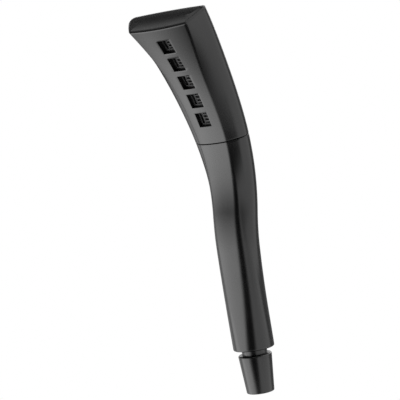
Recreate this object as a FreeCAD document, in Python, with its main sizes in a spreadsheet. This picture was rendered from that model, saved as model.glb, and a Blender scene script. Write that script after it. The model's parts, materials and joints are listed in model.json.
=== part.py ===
import FreeCAD, Part
import os
import Sketcher

# Handheld shower head: a curved wand with a flared head, five square spray windows along its
# face, a grip that runs down to a round tail, and a conical hose end that swivels on the tail.
# Frame: +Z up the straight tail, origin at the middle of the cone's lower rim, spray towards -Y,
# the wand is symmetric about X = 0. Millimetres and degrees.

VECTOR = FreeCAD.Vector
Z_AXIS = VECTOR(0, 0, 1)
TINY = 1e-6

doc = FreeCAD.newDocument("handheld_shower_head")
sizes = doc.addObject("Spreadsheet::Sheet", "sizes")
layout = doc.addObject("Spreadsheet::Sheet", "layout")
sheet_rows = {"sizes": 0, "layout": 0}
nodes = []


def write_cell(sheet, alias, text, note):
    sheet_rows[sheet.Name] += 1
    row = sheet_rows[sheet.Name]
    sheet.set(f"A{row}", alias)
    sheet.set(f"B{row}", text)
    sheet.set(f"C{row}", note)
    sheet.setAlias(f"B{row}", alias)


def size(alias, value, note=""):
    """A driving dimension: a plain number in the sizes sheet."""
    write_cell(sizes, alias, str(value), note)


def place(alias, formula, note=""):
    """A height, angle or radius that follows from the driving dimensions."""
    write_cell(layout, alias, "=" + formula, note)


def value_of(alias):
    doc.recompute()
    sheet = sizes if sizes.getCellFromAlias(alias) else layout
    return float(getattr(sheet, alias))


# ---------------------------------------------------------------- driving dimensions
size("cone_length", 27.4, "hose end, lower rim to shoulder")
size("cone_foot_radius", 9.8, "hose end at its lower rim")
size("cone_top_radius", 12.0, "hose end at its shoulder")
size("cone_shoulder_round", 0.9, "rounding of the shoulder")
size("neck_gap", 4.1, "bare neck between the cone and the grip")
size("neck_radius", 8.95, "bare neck")
size("tail_radius", 14.5, "round lower end of the grip")
size("tail_straight", 72.0, "straight stretch of the grip")
size("bend_back_angle", 7.0, "backward bend of the grip")
size("bend_back_radius", 207.0)
size("bend_forward_angle", 24.1, "forward bend below the head")
size("bend_forward_radius", 150.0)
size("head_angle", 18.2, "forward curve of the head")
size("head_radius", 273.5)
size("joint_tilt", 13.3, "lean of the wand where head and grip meet")
size("wall", 2.4, "casing walls")
size("end_wall", 2.6, "closed top end of the head")
size("joint_gap", 0.25, "fine gap between head and grip")
size("fit_gap", 0.05, "pieces that seat on each other")
size("slip_gap", 0.3, "pieces that follow a curved wall")
size("running_gap", 0.06, "turning and sliding pieces, on the radius")

# Sections across the wand: half width at the front and back, depth, corner radii, crown radii.
SECTION_SIZES = ("half_front", "half_back", "depth", "front_corner", "back_corner",
                 "front_crown", "back_crown")
SECTIONS = {
    "palm": (14.8, 14.3, 25.6, 10.5, 12.0, 40.0, 60.0),
    "bend_start": (14.6, 15.1, 24.0, 8.6, 10.4, 42.0, 70.0),
    "bend_end": (14.0, 16.8, 23.0, 7.2, 9.4, 45.0, 90.0),
    "upper_grip": (14.4, 19.6, 20.8, 6.0, 8.4, 50.0, 130.0),
    "joint": (15.4, 22.5, 18.9, 5.0, 7.5, 58.0, 200.0),
    "mid_head": (18.6, 28.0, 18.9, 4.1, 6.4, 86.0, 350.0),
    "top": (26.0, 34.3, 18.9, 3.4, 5.6, 210.0, 600.0),
}
for station, values in SECTIONS.items():
    for size_name, value in zip(SECTION_SIZES, values):
        size(f"{station}_{size_name}", value, "section across the wand")
size("tail_flat", 0.4, "half width of the small flats that close the tail's circle")
size("tail_crown", 60.0, "crown of those flats")
size("palm_height", 40.0, "palm section above the grip's rim")
size("upper_grip_tilt", 3.4)
size("mid_head_share", 0.5, "mid head section, as a share of the head's angle")

# Spray windows and what sits behind them.
size("window_count", 5)
size("window_width", 10.7)
size("window_height", 10.7)
size("window_pitch", 3.23, "angle between windows about the head's centre of curvature")
size("first_window", 1.98, "angle from the head's start to the lowest window")
size("frame_wall", 1.2, "frame that stands inside the wall round each window")
size("frame_depth", 5.4, "window face to the back of its frame")
size("frame_root", 1.0, "window face to where the frame leaves the wall")
size("window_clear", 4.0, "window's cut, out past its face")
size("insert_depth", 3.4, "window face to the insert's face")
size("insert_flange", 1.0, "insert's flange behind the frame")
size("insert_lip", 1.0, "how far the flange reaches past the window")
size("insert_slot", 7.6, "square mouth in the insert")
size("insert_web", 1.0, "floor of the mouth")
size("rib_width", 1.5, "upright rib across the mouth")
size("rib_offset", 1.7, "rib, off the middle")
size("tooth_height", 1.25)
size("tooth_pitch", 2.5)
size("tooth_set_back", 0.3, "rib and teeth, below the insert's face")
size("outlet_width", 1.6, "slot through the floor, behind the teeth's tips")
size("outlet_height", 5.6)
size("seal_thickness", 0.8)
size("chamber_floor", 1.6, "front wall of the water chamber")
size("chamber_depth", 4.4)
size("cover_thickness", 1.6)
size("chamber_half_width", 9.2)
size("chamber_wall", 1.6)
size("chamber_end_angle", 1.62, "angle the chamber runs past the middle of the last windows")
size("curve_gap", 0.15, "flat seals on the chamber's curved front")
size("feed_slot", 6.0, "opening from the chamber to each insert")

# Water pipe and joint collar.
size("tube_radius", 4.5)
size("tube_bore", 3.3)
size("collar_wall", 1.3)
size("collar_below", 3.6, "angle below the joint that the collar reaches")
size("collar_above", 2.6, "angle above the joint that the collar reaches")
size("nipple_length", 5.6)
size("nipple_root", 1.7, "nipple between the chamber and the tube's end")
size("nipple_bore", 1.7)
size("nipple_gap", 0.2, "nipple in the tube, for the curve of the tube")
size("nipple_groove_below", 3.4, "O-ring on the nipple, below the chamber")
size("end_play", 0.3, "tube end to the seat behind it")
size("min_corner", 0.4, "smallest corner of an inner section")

# Tail fitting, with two check valves in its bore.
size("flange_recess", 0.4, "tail flange, in from the grip's rim")
size("flange_height", 3.4)
size("flange_gap", 0.2, "tail flange in the grip's bore")
size("barrel_radius", 8.6)
size("valve_bore", 6.6)
size("valve_floor", 4.6, "tail flange's lower face to the valves' seat")
size("passage_radius", 3.6)
size("valve_height", 14.0)
size("valve_wall", 1.0)
size("seat_height", 2.0)
size("seat_hole", 3.3)
size("seat_seal_height", 0.8)
size("seat_seal_width", 1.5)
size("poppet_radius", 4.6)
size("poppet_height", 1.5)
size("guide_height", 1.8)
size("guide_window", 1.4, "radius of each water way through the guide")
size("guide_window_count", 6)
size("poppet_stem", 1.2)
size("stem_past_guide", 0.9, "stem above the guide's lower face")
size("spring_radius", 2.5, "middle of the wire")
size("spring_wire", 0.35, "radius of the wire")
size("spring_turns", 4)
size("socket_plug", 6.0, "how far the tube socket goes into the barrel")
size("socket_head", 9.0, "tube socket above the barrel")
size("socket_depth", 10.5, "tube in its socket")
size("socket_gap", 0.1)

# Hose end.
size("hose_bore", 7.0, "socket for the hose's end sleeve")
size("hose_depth", 10.0)
size("washer_radius", 6.4)
size("washer_bore", 4.0)
size("washer_height", 2.0)
size("disc_radius", 5.5, "bore round the strainer and the regulator")
size("screen_height", 0.6)
size("screen_hole", 0.45)
size("screen_pitch", 1.6, "rings of holes")
size("regulator_height", 2.2)
size("regulator_hole", 1.1)
size("disc_room", 3.4, "height of that bore")
size("stem_radius", 8.0, "tail fitting's stem inside the cone")
size("groove_depth", 1.0)
size("ring_height", 1.1, "snap ring that holds the cone on the stem")
size("ring_below_top", 3.2, "snap ring's top, down from the cone's shoulder")
size("ring_split", 2.0)
size("oring_section", 0.48, "half thickness of the O-rings")
size("oring_play", 0.06, "O-ring along its groove, each side")
size("small_groove_depth", 0.65)
size("small_oring_section", 0.34)
size("flange_groove_above", 1.7, "tail O-ring above the flange's lower face")
size("socket_groove_below", 3.0, "tube's O-ring below the socket's mouth")
size("trim_reach", 170.0, "half width of the planes that trim the wand")
size("swivel_oring_below_top", 8.0)

# ---------------------------------------------------------------- heights, angles and centres
doc.recompute()
place("base_z", "sizes.cone_length + sizes.neck_gap", "the grip's lower rim")
place("straight_top_z", "base_z + sizes.tail_straight")
place("bend_back_y", "sizes.bend_back_radius", "centre of the backward bend")
place("bend_end_y", "sizes.bend_back_radius * (1 - cos(sizes.bend_back_angle))")
place("bend_end_z", "straight_top_z + sizes.bend_back_radius * sin(sizes.bend_back_angle)")
place("bend_forward_y", "bend_end_y - sizes.bend_forward_radius * cos(sizes.bend_back_angle)")
place("bend_forward_z", "bend_end_z + sizes.bend_forward_radius * sin(sizes.bend_back_angle)")
place("head_start_tilt", "sizes.bend_forward_angle - sizes.bend_back_angle")
place("head_top_tilt", "head_start_tilt + sizes.head_angle")
place("head_y", "bend_forward_y + (sizes.bend_forward_radius - sizes.head_radius)"
                " * cos(head_start_tilt)", "centre of the head's curve")
place("head_z", "bend_forward_z + (sizes.bend_forward_radius - sizes.head_radius)"
                " * sin(head_start_tilt)")


def place_on_arc(station, centre, radius, tilt):
    place(f"{station}_tilt", tilt)
    place(f"{station}_y", f"{centre}_y + {radius} * cos({station}_tilt)")
    place(f"{station}_z", f"{centre}_z + {radius} * sin({station}_tilt)")


place("base_tilt", "0")
place("base_y", "0")
place("palm_tilt", "0")
place("palm_y", "0")
place("palm_z", "base_z + sizes.palm_height")
place("bend_start_tilt", "0")
place("bend_start_y", "0")
place("bend_start_z", "straight_top_z")
place("bend_end_tilt", "0 - sizes.bend_back_angle")
place_on_arc("upper_grip", "bend_forward", "sizes.bend_forward_radius", "sizes.upper_grip_tilt")
place_on_arc("joint", "bend_forward", "sizes.bend_forward_radius", "sizes.joint_tilt")
place_on_arc("collar_foot", "bend_forward", "sizes.bend_forward_radius",
             "joint_tilt - sizes.collar_below")
place_on_arc("collar_head", "bend_forward", "sizes.bend_forward_radius",
             "joint_tilt + sizes.collar_above")
place("head_start_y", "bend_forward_y + sizes.bend_forward_radius * cos(head_start_tilt)")
place("head_start_z", "bend_forward_z + sizes.bend_forward_radius * sin(head_start_tilt)")
place_on_arc("mid_head", "head", "sizes.head_radius",
             "head_start_tilt + sizes.head_angle * sizes.mid_head_share")
place_on_arc("top", "head", "sizes.head_radius", "head_top_tilt")
place_on_arc("ceiling", "head", "sizes.head_radius",
             "head_top_tilt - sizes.end_wall / sizes.head_radius * 180 / pi")

# The window face on the head's middle line, and what stacks up behind it, as radii.
place("face_radius", "sizes.head_radius - sizes.mid_head_depth / 2 + sizes.mid_head_front_corner"
                     " - sizes.mid_head_front_crown"
                     " + sqrt((sizes.mid_head_front_crown - sizes.mid_head_front_corner)^2"
                     " - (sizes.mid_head_half_front - sizes.mid_head_front_corner)^2)")
place("frame_back_radius", "face_radius + sizes.frame_depth")
place("insert_face_radius", "face_radius + sizes.insert_depth")
place("insert_body", "sizes.frame_depth - sizes.insert_depth + sizes.fit_gap")
place("insert_height", "insert_body + sizes.insert_flange", "insert, face to back")
place("seal_start", "insert_height + sizes.fit_gap")
place("chamber_front_radius", "insert_face_radius + seal_start + sizes.seal_thickness"
                              " + sizes.curve_gap")
place("chamber_back_radius", "chamber_front_radius + sizes.chamber_floor + sizes.chamber_depth")
place("first_window_tilt", "head_start_tilt + sizes.first_window")
place("chamber_tilt", "first_window_tilt - sizes.chamber_end_angle")
place("chamber_angle", "(sizes.window_count - 1) * sizes.window_pitch"
                       " + 2 * sizes.chamber_end_angle")
place("chamber_wall_angle", "sizes.chamber_wall / chamber_front_radius * 180 / pi")

# Heights up the tail.
place("disc_z", "sizes.hose_depth + sizes.washer_height")
place("stem_seat_z", "disc_z + sizes.disc_room")
place("stem_foot_z", "stem_seat_z + sizes.end_play")
place("snap_high_z", "sizes.cone_length - sizes.ring_below_top")
place("snap_low_z", "snap_high_z - sizes.ring_height - 2 * sizes.fit_gap")
place("swivel_oring_z", "sizes.cone_length - sizes.swivel_oring_below_top")
place("flange_z", "base_z + sizes.flange_recess")
place("flange_top_z", "flange_z + sizes.flange_height")
place("flange_radius", "sizes.tail_radius - sizes.wall - sizes.flange_gap")
place("flange_groove_z", "flange_z + sizes.flange_groove_above")
place("valve_z", "flange_z + sizes.valve_floor")
place("upper_valve_z", "valve_z + sizes.valve_height + sizes.fit_gap")
place("plug_z", "upper_valve_z + sizes.valve_height + sizes.fit_gap")
place("barrel_top_z", "plug_z + sizes.socket_plug")
place("socket_head_z", "barrel_top_z + sizes.fit_gap")
place("socket_top_z", "socket_head_z + sizes.socket_head")
place("tube_z", "socket_top_z - sizes.socket_depth")
place("socket_floor_z", "tube_z - sizes.end_play")
place("socket_groove_z", "socket_top_z - sizes.socket_groove_below")
place("groove_half", "sizes.oring_section + sizes.oring_play")
place("small_groove_half", "sizes.small_oring_section + sizes.oring_play")
place("seal_rest", "sizes.seat_height + sizes.fit_gap", "valve seal above the valve's foot")
place("poppet_rest", "seal_rest + sizes.seat_seal_height + sizes.fit_gap")
place("poppet_back", "poppet_rest + sizes.poppet_height")
place("guide_low", "sizes.valve_height - sizes.guide_height")
doc.recompute()


# ---------------------------------------------------------------- how features are drawn
def numeric(expression):
    return float(sizes.evalExpression(expression))


def new_body(name, placement=None):
    body = doc.addObject("PartDesign::Body", name)
    body.Label = name
    if placement:
        body.setExpression("Placement", placement)
    nodes.append(body)
    return body


def turned_placement(y, z, tilt):
    return f"placement(vector(0; {y}; {z}); rotation(vector(1; 0; 0); {tilt}))"


def raised(z):
    return turned_placement("0", z, "0")


def across_wand(station, shift="0"):
    """The plane square to the wand at a station, moved up the wand by shift."""
    name = f"layout.{station}"
    return turned_placement(f"{name}_y - sin({name}_tilt) * ({shift})",
                            f"{name}_z + cos({name}_tilt) * ({shift})", f"{name}_tilt")


def on_head(radius, tilt, turn="0"):
    """A place at a radius and angle about the head's centre of curvature."""
    return turned_placement(f"layout.head_y + ({radius}) * cos({tilt})",
                            f"layout.head_z + ({radius}) * sin({tilt})", f"{tilt} + {turn}")


def placed_corner(y, z, tilt, across, back, up):
    """A turned placement whose corner is moved across, back and up in its own frame."""
    return (f"placement(vector({across}; {y} + ({back}) * cos({tilt}) - ({up}) * sin({tilt});"
            f" {z} + ({back}) * sin({tilt}) + ({up}) * cos({tilt}));"
            f" rotation(vector(1; 0; 0); {tilt}))")


def new_sketch(body, name, role="XY_Plane", offset=None):
    sketch = body.newObject("Sketcher::SketchObject", f"{body.Name}_{name}")
    plane = [item for item in body.Origin.OriginFeatures if item.Role == role][0]
    sketch.AttachmentSupport = [(plane, "")]
    sketch.MapMode = "FlatFace"
    if offset:
        sketch.setExpression("AttachmentOffset", offset)
    return sketch


def bind(sketch, kind, elements, expression):
    """Adds a dimension and ties it to the sheets."""
    index = sketch.addConstraint(Sketcher.Constraint(kind, *elements, numeric(expression)))
    sketch.setExpression(f"Constraints[{index}]", expression)


def pin_point(sketch, geometry, vertex, across, along):
    """Holds a point at two coordinates given as expressions."""
    for kind, axis, expression in (("DistanceX", -2, across), ("DistanceY", -1, along)):
        value = numeric(expression)
        if abs(value) < TINY:
            sketch.addConstraint(Sketcher.Constraint("PointOnObject", geometry, vertex, axis))
        elif value > 0:
            bind(sketch, kind, (-1, 1, geometry, vertex), expression)
        else:
            bind(sketch, kind, (geometry, vertex, -1, 1), f"-({expression})")


def draw_outline(sketch, corners):
    """A closed outline of straight lines through corners given as expressions."""
    first = sketch.GeometryCount
    points = [VECTOR(numeric(across), numeric(along), 0) for across, along in corners]
    count = len(points)
    for index in range(count):
        sketch.addGeometry(Part.LineSegment(points[index], points[(index + 1) % count]), False)
    for index in range(count):
        sketch.addConstraint(Sketcher.Constraint(
            "Coincident", first + index, 2, first + (index + 1) % count, 1))
    for index, (across, along) in enumerate(corners):
        pin_point(sketch, first + index, 1, across, along)


def draw_rectangle(sketch, left, right, low, high):
    draw_outline(sketch, ((left, low), (right, low), (right, high), (left, high)))


def draw_square(sketch, width, height=None):
    height = height or width
    draw_rectangle(sketch, f"-({width}) / 2", f"({width}) / 2",
                   f"-({height}) / 2", f"({height}) / 2")


def draw_circle(sketch, across, along, radius):
    centre = VECTOR(numeric(across), numeric(along), 0)
    index = sketch.addGeometry(Part.Circle(centre, Z_AXIS, numeric(radius)), False)
    pin_point(sketch, index, 3, across, along)
    bind(sketch, "Radius", (index,), radius)


def add_feature(body, kind, name, sketch, **settings):
    """Adds a feature, and checks that it changes the volume the way its kind should."""
    before = body.Shape.Volume if body.Tip else 0.0
    feature = body.newObject(f"PartDesign::{kind}", f"{body.Name}_{name}")
    feature.Profile = sketch
    for key, setting in settings.items():
        if isinstance(setting, str) and key in ("Length", "Angle", "Pitch", "Height"):
            feature.setExpression(key, setting)
        else:
            setattr(feature, key, setting)
    sketch.Visibility = False
    doc.recompute()
    grown = feature.Shape.Volume - before
    removes = kind in ("Pocket", "Groove")
    if (removes and grown > -TINY) or (not removes and grown < TINY):
        raise RuntimeError(f"{feature.Name} changes the volume by {grown:.3f}")
    return feature


def pad(body, name, sketch, length, back=False):
    return add_feature(body, "Pad", name, sketch, Length=length, Reversed=back)


def pocket(body, name, sketch, length, forward=False):
    return add_feature(body, "Pocket", name, sketch, Length=length, Reversed=forward)


def pocket_through(body, name, sketch, forward=False):
    return add_feature(body, "Pocket", name, sketch, Type="ThroughAll", Reversed=forward)


def revolve(body, name, corners, offset=None, cut=False, angle="360"):
    """Turns an outline of (radius, height) corners about the upright axis."""
    sketch = new_sketch(body, f"{name}_outline", "XZ_Plane", offset)
    draw_outline(sketch, corners)
    kind = "Groove" if cut else "Revolution"
    return add_feature(body, kind, name, sketch, ReferenceAxis=(sketch, ["V_Axis"]), Angle=angle)


def round_edges(body, name, edges, radius):
    base = body.Tip
    feature = body.newObject("PartDesign::Fillet", f"{body.Name}_{name}")
    feature.Base = (base, edges)
    feature.setExpression("Radius", radius)
    doc.recompute()
    return feature


def polar_pattern(body, name, original, sketch, count):
    feature = body.newObject("PartDesign::PolarPattern", f"{body.Name}_{name}")
    feature.Originals = [original]
    feature.Axis = (sketch, ["N_Axis"])
    feature.setExpression("Occurrences", count)
    body.Tip = feature
    doc.recompute()
    return feature


# ---------------------------------------------------------------- the wand's own surface
STATIONS = ("base", "palm", "bend_start", "bend_end", "upper_grip", "joint", "mid_head", "top")
ROUND_TAIL = {
    "half_front": "sizes.tail_radius",
    "half_back": "sizes.tail_radius",
    "depth": "(2 * sizes.tail_radius)",
    "front_corner": "(sizes.tail_radius - sizes.tail_flat)",
    "back_corner": "(sizes.tail_radius - sizes.tail_flat)",
    "front_crown": "sizes.tail_crown",
    "back_crown": "sizes.tail_crown",
}
INNER_STATIONS = STATIONS[:-1] + ("ceiling",)
LOFT_DEGREE = 2
CEILING_SHARE = ("((layout.ceiling_tilt - layout.mid_head_tilt)"
                 " / (layout.top_tilt - layout.mid_head_tilt))")


def section_size(station, size_name):
    if station == "base":
        return ROUND_TAIL[size_name]
    if station == "ceiling":
        low = f"sizes.mid_head_{size_name}"
        return f"({low} + (sizes.top_{size_name} - {low}) * {CEILING_SHARE})"
    return f"sizes.{station}_{size_name}"


def draw_section(station, inset, label):
    """A rounded four-sided section with crowned front and back, set in by inset."""
    sketch = doc.addObject("Sketcher::SketchObject", f"{label}_{station}")
    sketch.setExpression("Placement", across_wand(station))
    sketch.Visibility = False
    depth = section_size(station, "depth")
    corner = {}
    for side, sign in (("front", "-"), ("back", "")):
        radius = f"max({section_size(station, side + '_corner')} - {inset}; sizes.min_corner)"
        corner[side] = {
            "radius": radius,
            "across": f"({section_size(station, 'half_' + side)} - {inset} - {radius})",
            "along": f"{sign}({depth} / 2 - {inset} - {radius})",
            "crown": f"({section_size(station, side + '_crown')} - {inset})",
        }
    front = {key: numeric(text) for key, text in corner["front"].items()}
    back = {key: numeric(text) for key, text in corner["back"].items()}
    front_centre = VECTOR(front["across"], front["along"], 0)
    back_centre = VECTOR(back["across"], back["along"], 0)
    front_reach = front["crown"] - front["radius"]
    back_reach = back["crown"] - back["radius"]
    front_crown_centre = VECTOR(
        0, front["along"] + (front_reach ** 2 - front["across"] ** 2) ** 0.5, 0)
    back_crown_centre = VECTOR(
        0, back["along"] - (back_reach ** 2 - back["across"] ** 2) ** 0.5, 0)
    run = back_centre - front_centre
    lean = (front["radius"] - back["radius"]) / run.Length
    along_run = VECTOR(run).normalize()
    outward = VECTOR(along_run.y, -along_run.x, 0)
    side_normal = along_run * lean + outward * (1 - lean ** 2) ** 0.5

    def mirrored(point):
        return VECTOR(-point.x, point.y, 0)

    def toward(centre, target, radius):
        return centre + VECTOR(target - centre).normalize() * radius

    front_join = toward(front_crown_centre, front_centre, front["crown"])
    back_join = toward(back_crown_centre, back_centre, back["crown"])
    side_low = front_centre + side_normal * front["radius"]
    side_high = back_centre + side_normal * back["radius"]
    front_corner_middle = toward(front_centre, front_centre + (
        VECTOR(front_join - front_centre).normalize() + side_normal), front["radius"])
    back_corner_middle = toward(back_centre, back_centre + (
        VECTOR(back_join - back_centre).normalize() + side_normal), back["radius"])
    front_middle = front_crown_centre + VECTOR(0, -front["crown"], 0)
    back_middle = back_crown_centre + VECTOR(0, back["crown"], 0)
    edges = (
        Part.Arc(mirrored(front_join), front_middle, front_join),
        Part.Arc(front_join, front_corner_middle, side_low),
        Part.LineSegment(side_low, side_high),
        Part.Arc(side_high, back_corner_middle, back_join),
        Part.Arc(back_join, back_middle, mirrored(back_join)),
        Part.Arc(mirrored(back_join), mirrored(back_corner_middle), mirrored(side_high)),
        Part.LineSegment(mirrored(side_high), mirrored(side_low)),
        Part.Arc(mirrored(side_low), mirrored(front_corner_middle), mirrored(front_join)),
    )
    for edge in edges:
        sketch.addGeometry(edge, False)
    count = len(edges)
    for index in range(count):
        follower = (index + 1) % count
        # An arc always runs anticlockwise, so each edge's end meets the next one's start.
        sketch.addConstraint(Sketcher.Constraint("Tangent", index, 2, follower, 1))
    for index, side in ((1, "front"), (3, "back")):
        pin_point(sketch, index, 3, corner[side]["across"], corner[side]["along"])
        bind(sketch, "Radius", (index,), corner[side]["radius"])
        opposite = count - index
        sketch.addConstraint(Sketcher.Constraint("Symmetric", index, 3, opposite, 3, -2))
        sketch.addConstraint(Sketcher.Constraint("Equal", index, opposite))
    for index, side in ((0, "front"), (4, "back")):
        bind(sketch, "Radius", (index,), corner[side]["crown"])
    return sketch


def wand_loft(label, stations, inset):
    """A solid through the wand's sections; the low degree keeps it from rippling between."""
    loft = doc.addObject("Part::Loft", label)
    loft.Sections = [draw_section(station, inset, label) for station in stations]
    loft.Solid = True
    loft.Ruled = False
    loft.MaxDegree = LOFT_DEGREE
    doc.recompute()
    return loft


def combine(kind, name, base, tool):
    """A cut or fuse of two shapes, checked to change the first one's volume."""
    result = doc.addObject(f"Part::{kind}", name)
    result.Base = base
    result.Tool = tool
    doc.recompute()
    if abs(result.Shape.Volume - base.Shape.Volume) < TINY:
        raise RuntimeError(f"{name} changes nothing")
    return result


def add_box(name, width, depth, height, placement):
    box = doc.addObject("Part::Box", name)
    for key, expression in (("Length", width), ("Width", depth), ("Height", height)):
        box.setExpression(key, expression)
    box.setExpression("Placement", placement)
    return box


def trim_wand(solid, name, station, shift, above):
    """Removes all of the wand above or below a station."""
    reach = "sizes.trim_reach"
    bottom = f"({shift})" if above else f"({shift} - {reach})"
    at = f"layout.{station}"
    corner = placed_corner(f"{at}_y", f"{at}_z", f"{at}_tilt", f"-{reach}", f"-{reach}", bottom)
    box = add_box(f"{name}_box", f"2 * {reach}", f"2 * {reach}", reach, corner)
    return combine("Cut", name, solid, box)


def finish_node(solid, name):
    solid.Label = name
    nodes.append(solid)
    return solid


def window_tilt(index):
    return f"(layout.first_window_tilt + {index} * sizes.window_pitch)"


# ---------------------------------------------------------------- casings and joint
def make_casing(name):
    outside = wand_loft(f"{name}_outside", STATIONS, "0")
    inside = wand_loft(f"{name}_inside", INNER_STATIONS, "sizes.wall")
    return combine("Cut", f"{name}_hollow", outside, inside)


def window_box(name, index, border, start, end):
    """A square block that runs through a window, between two depths from its face."""
    width = f"(sizes.window_width + 2 * {border})"
    height = f"(sizes.window_height + 2 * {border})"
    tilt = window_tilt(index)
    middle_y = f"layout.head_y + layout.face_radius * cos({tilt})"
    middle_z = f"layout.head_z + layout.face_radius * sin({tilt})"
    corner = placed_corner(middle_y, middle_z, tilt, f"-{width} / 2", start, f"-{height} / 2")
    return add_box(f"{name}_{index}", width, f"{end} - {start}", height, corner)


def make_head_shell():
    solid = make_casing("head")
    solid = trim_wand(solid, "head_trimmed", "joint", "sizes.joint_gap / 2", above=False)
    for index in range(int(value_of("window_count"))):
        frame = window_box("frame", index, "sizes.frame_wall", "sizes.frame_root",
                           "sizes.frame_depth")
        solid = combine("Fuse", f"head_frame_{index}", solid, frame)
    for index in range(int(value_of("window_count"))):
        window = window_box("window", index, "0", "(0 - sizes.window_clear)",
                            "sizes.frame_depth")
        solid = combine("Cut", f"head_window_{index}", solid, window)
    return finish_node(solid, "head_shell")


def make_handle_shell():
    solid = make_casing("handle")
    solid = trim_wand(solid, "handle_trimmed", "joint", "(0 - sizes.joint_gap / 2)", above=True)
    return finish_node(solid, "handle_shell")


def make_joint_collar():
    outside = wand_loft("collar_outside", STATIONS, "(sizes.wall + sizes.slip_gap)")
    inside = wand_loft("collar_inside", STATIONS,
                       "(sizes.wall + sizes.slip_gap + sizes.collar_wall)")
    solid = trim_wand(outside, "collar_from_foot", "collar_foot", "0", above=False)
    solid = trim_wand(solid, "collar_to_head", "collar_head", "0", above=True)
    return finish_node(combine("Cut", "collar_hollow", solid, inside), "joint_collar")


# ---------------------------------------------------------------- spray inserts and chamber
def make_spray_insert(index):
    seat = on_head("layout.insert_face_radius", window_tilt(index))
    body = new_body(f"spray_insert_{index + 1}", seat)
    block = new_sketch(body, "block", "XZ_Plane")
    draw_square(block, "sizes.window_width - 2 * sizes.fit_gap",
                "sizes.window_height - 2 * sizes.fit_gap")
    pad(body, "block_body", block, "layout.insert_height", back=True)
    flange = new_sketch(body, "flange", "XZ_Plane", raised("-layout.insert_body"))
    draw_square(flange, "sizes.window_width + 2 * sizes.insert_lip",
                "sizes.window_height + 2 * sizes.insert_lip")
    pad(body, "flange_plate", flange, "sizes.insert_flange", back=True)
    mouth = new_sketch(body, "mouth", "XZ_Plane")
    draw_square(mouth, "sizes.insert_slot")
    pocket(body, "mouth_cut", mouth, "layout.insert_height - sizes.insert_web")
    outlet = new_sketch(body, "outlet", "XZ_Plane")
    draw_rectangle(outlet, "sizes.insert_slot / 2 - sizes.outlet_width", "sizes.insert_slot / 2",
                   "-sizes.outlet_height / 2", "sizes.outlet_height / 2")
    pocket_through(body, "outlet_cut", outlet)
    comb = new_sketch(body, "comb", "XZ_Plane", raised("-sizes.tooth_set_back"))
    rib_right = "(sizes.rib_width / 2 - sizes.rib_offset)"
    mouth_edge = "sizes.insert_slot / 2"
    corners = [(f"{rib_right} - sizes.rib_width", f"-{mouth_edge}"), (rib_right, f"-{mouth_edge}")]
    for step in (-1, 0, 1):
        middle = f"{step} * sizes.tooth_pitch"
        low = f"{middle} - sizes.tooth_height / 2"
        high = f"{middle} + sizes.tooth_height / 2"
        corners += [(rib_right, low), (mouth_edge, low), (mouth_edge, high), (rib_right, high)]
    corners += [(rib_right, mouth_edge), (f"{rib_right} - sizes.rib_width", mouth_edge)]
    draw_outline(comb, corners)
    pad(body, "comb_body", comb,
        "layout.insert_height - sizes.insert_web - sizes.tooth_set_back", back=True)
    return body


def make_insert_seal(index):
    seat = on_head("layout.insert_face_radius + layout.seal_start", window_tilt(index))
    body = new_body(f"insert_seal_{index + 1}", seat)
    ring = new_sketch(body, "ring", "XZ_Plane")
    draw_square(ring, "sizes.window_width + 2 * sizes.insert_lip",
                "sizes.window_height + 2 * sizes.insert_lip")
    draw_square(ring, "sizes.insert_slot")
    pad(body, "ring_body", ring, "sizes.seal_thickness", back=True)
    return body


def bend_round_head(body, name, half_width, inner, outer, start, angle, cut=False):
    """A band that follows the head's curve, from one radius to another."""
    offset = turned_placement("0", "0", start)
    sketch = new_sketch(body, f"{name}_section", "XY_Plane", offset)
    draw_rectangle(sketch, f"-{half_width}", half_width, inner, outer)
    kind = "Groove" if cut else "Revolution"
    return add_feature(body, kind, name, sketch, ReferenceAxis=(sketch, ["H_Axis"]), Angle=angle)


def chamber_placement():
    return turned_placement("layout.head_y", "layout.head_z", "layout.chamber_tilt")


def make_manifold_body():
    body = new_body("manifold_body", chamber_placement())
    floor_back = "layout.chamber_front_radius + sizes.chamber_floor"
    bend_round_head(body, "tray", "sizes.chamber_half_width", "layout.chamber_front_radius",
                    "layout.chamber_back_radius", "0", "layout.chamber_angle")
    bend_round_head(body, "chamber", "(sizes.chamber_half_width - sizes.chamber_wall)",
                    floor_back, "layout.chamber_back_radius", "layout.chamber_wall_angle",
                    "layout.chamber_angle - 2 * layout.chamber_wall_angle", cut=True)
    for index in range(int(value_of("window_count"))):
        turn = f"({window_tilt(index)} - layout.chamber_tilt)"
        seat = turned_placement(f"({floor_back}) * cos({turn})", f"({floor_back}) * sin({turn})",
                                f"{turn} + 90")
        feed = new_sketch(body, f"feed_{index}", "XY_Plane", seat)
        draw_square(feed, "sizes.feed_slot")
        pocket_through(body, f"feed_cut_{index}", feed, forward=True)
    radius = "(sizes.tube_bore - sizes.nipple_gap)"
    neck = f"({radius} - sizes.small_groove_depth)"
    foot = "-(sizes.nipple_root + sizes.nipple_length)"
    groove_high = "(layout.small_groove_half - sizes.nipple_groove_below)"
    groove_low = "-(layout.small_groove_half + sizes.nipple_groove_below)"
    spine = turned_placement("0", "-sizes.head_radius", "0")
    revolve(body, "nipple", (
        ("sizes.nipple_bore", foot), (radius, foot), (radius, groove_low), (neck, groove_low),
        (neck, groove_high), (radius, groove_high), (radius, "sizes.chamber_wall / 2"),
        ("sizes.nipple_bore", "sizes.chamber_wall / 2")), spine)
    revolve(body, "nipple_way", (
        ("0", foot), ("sizes.nipple_bore", foot), ("sizes.nipple_bore", "2 * sizes.chamber_wall"),
        ("0", "2 * sizes.chamber_wall")), spine, cut=True)
    return body


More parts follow.
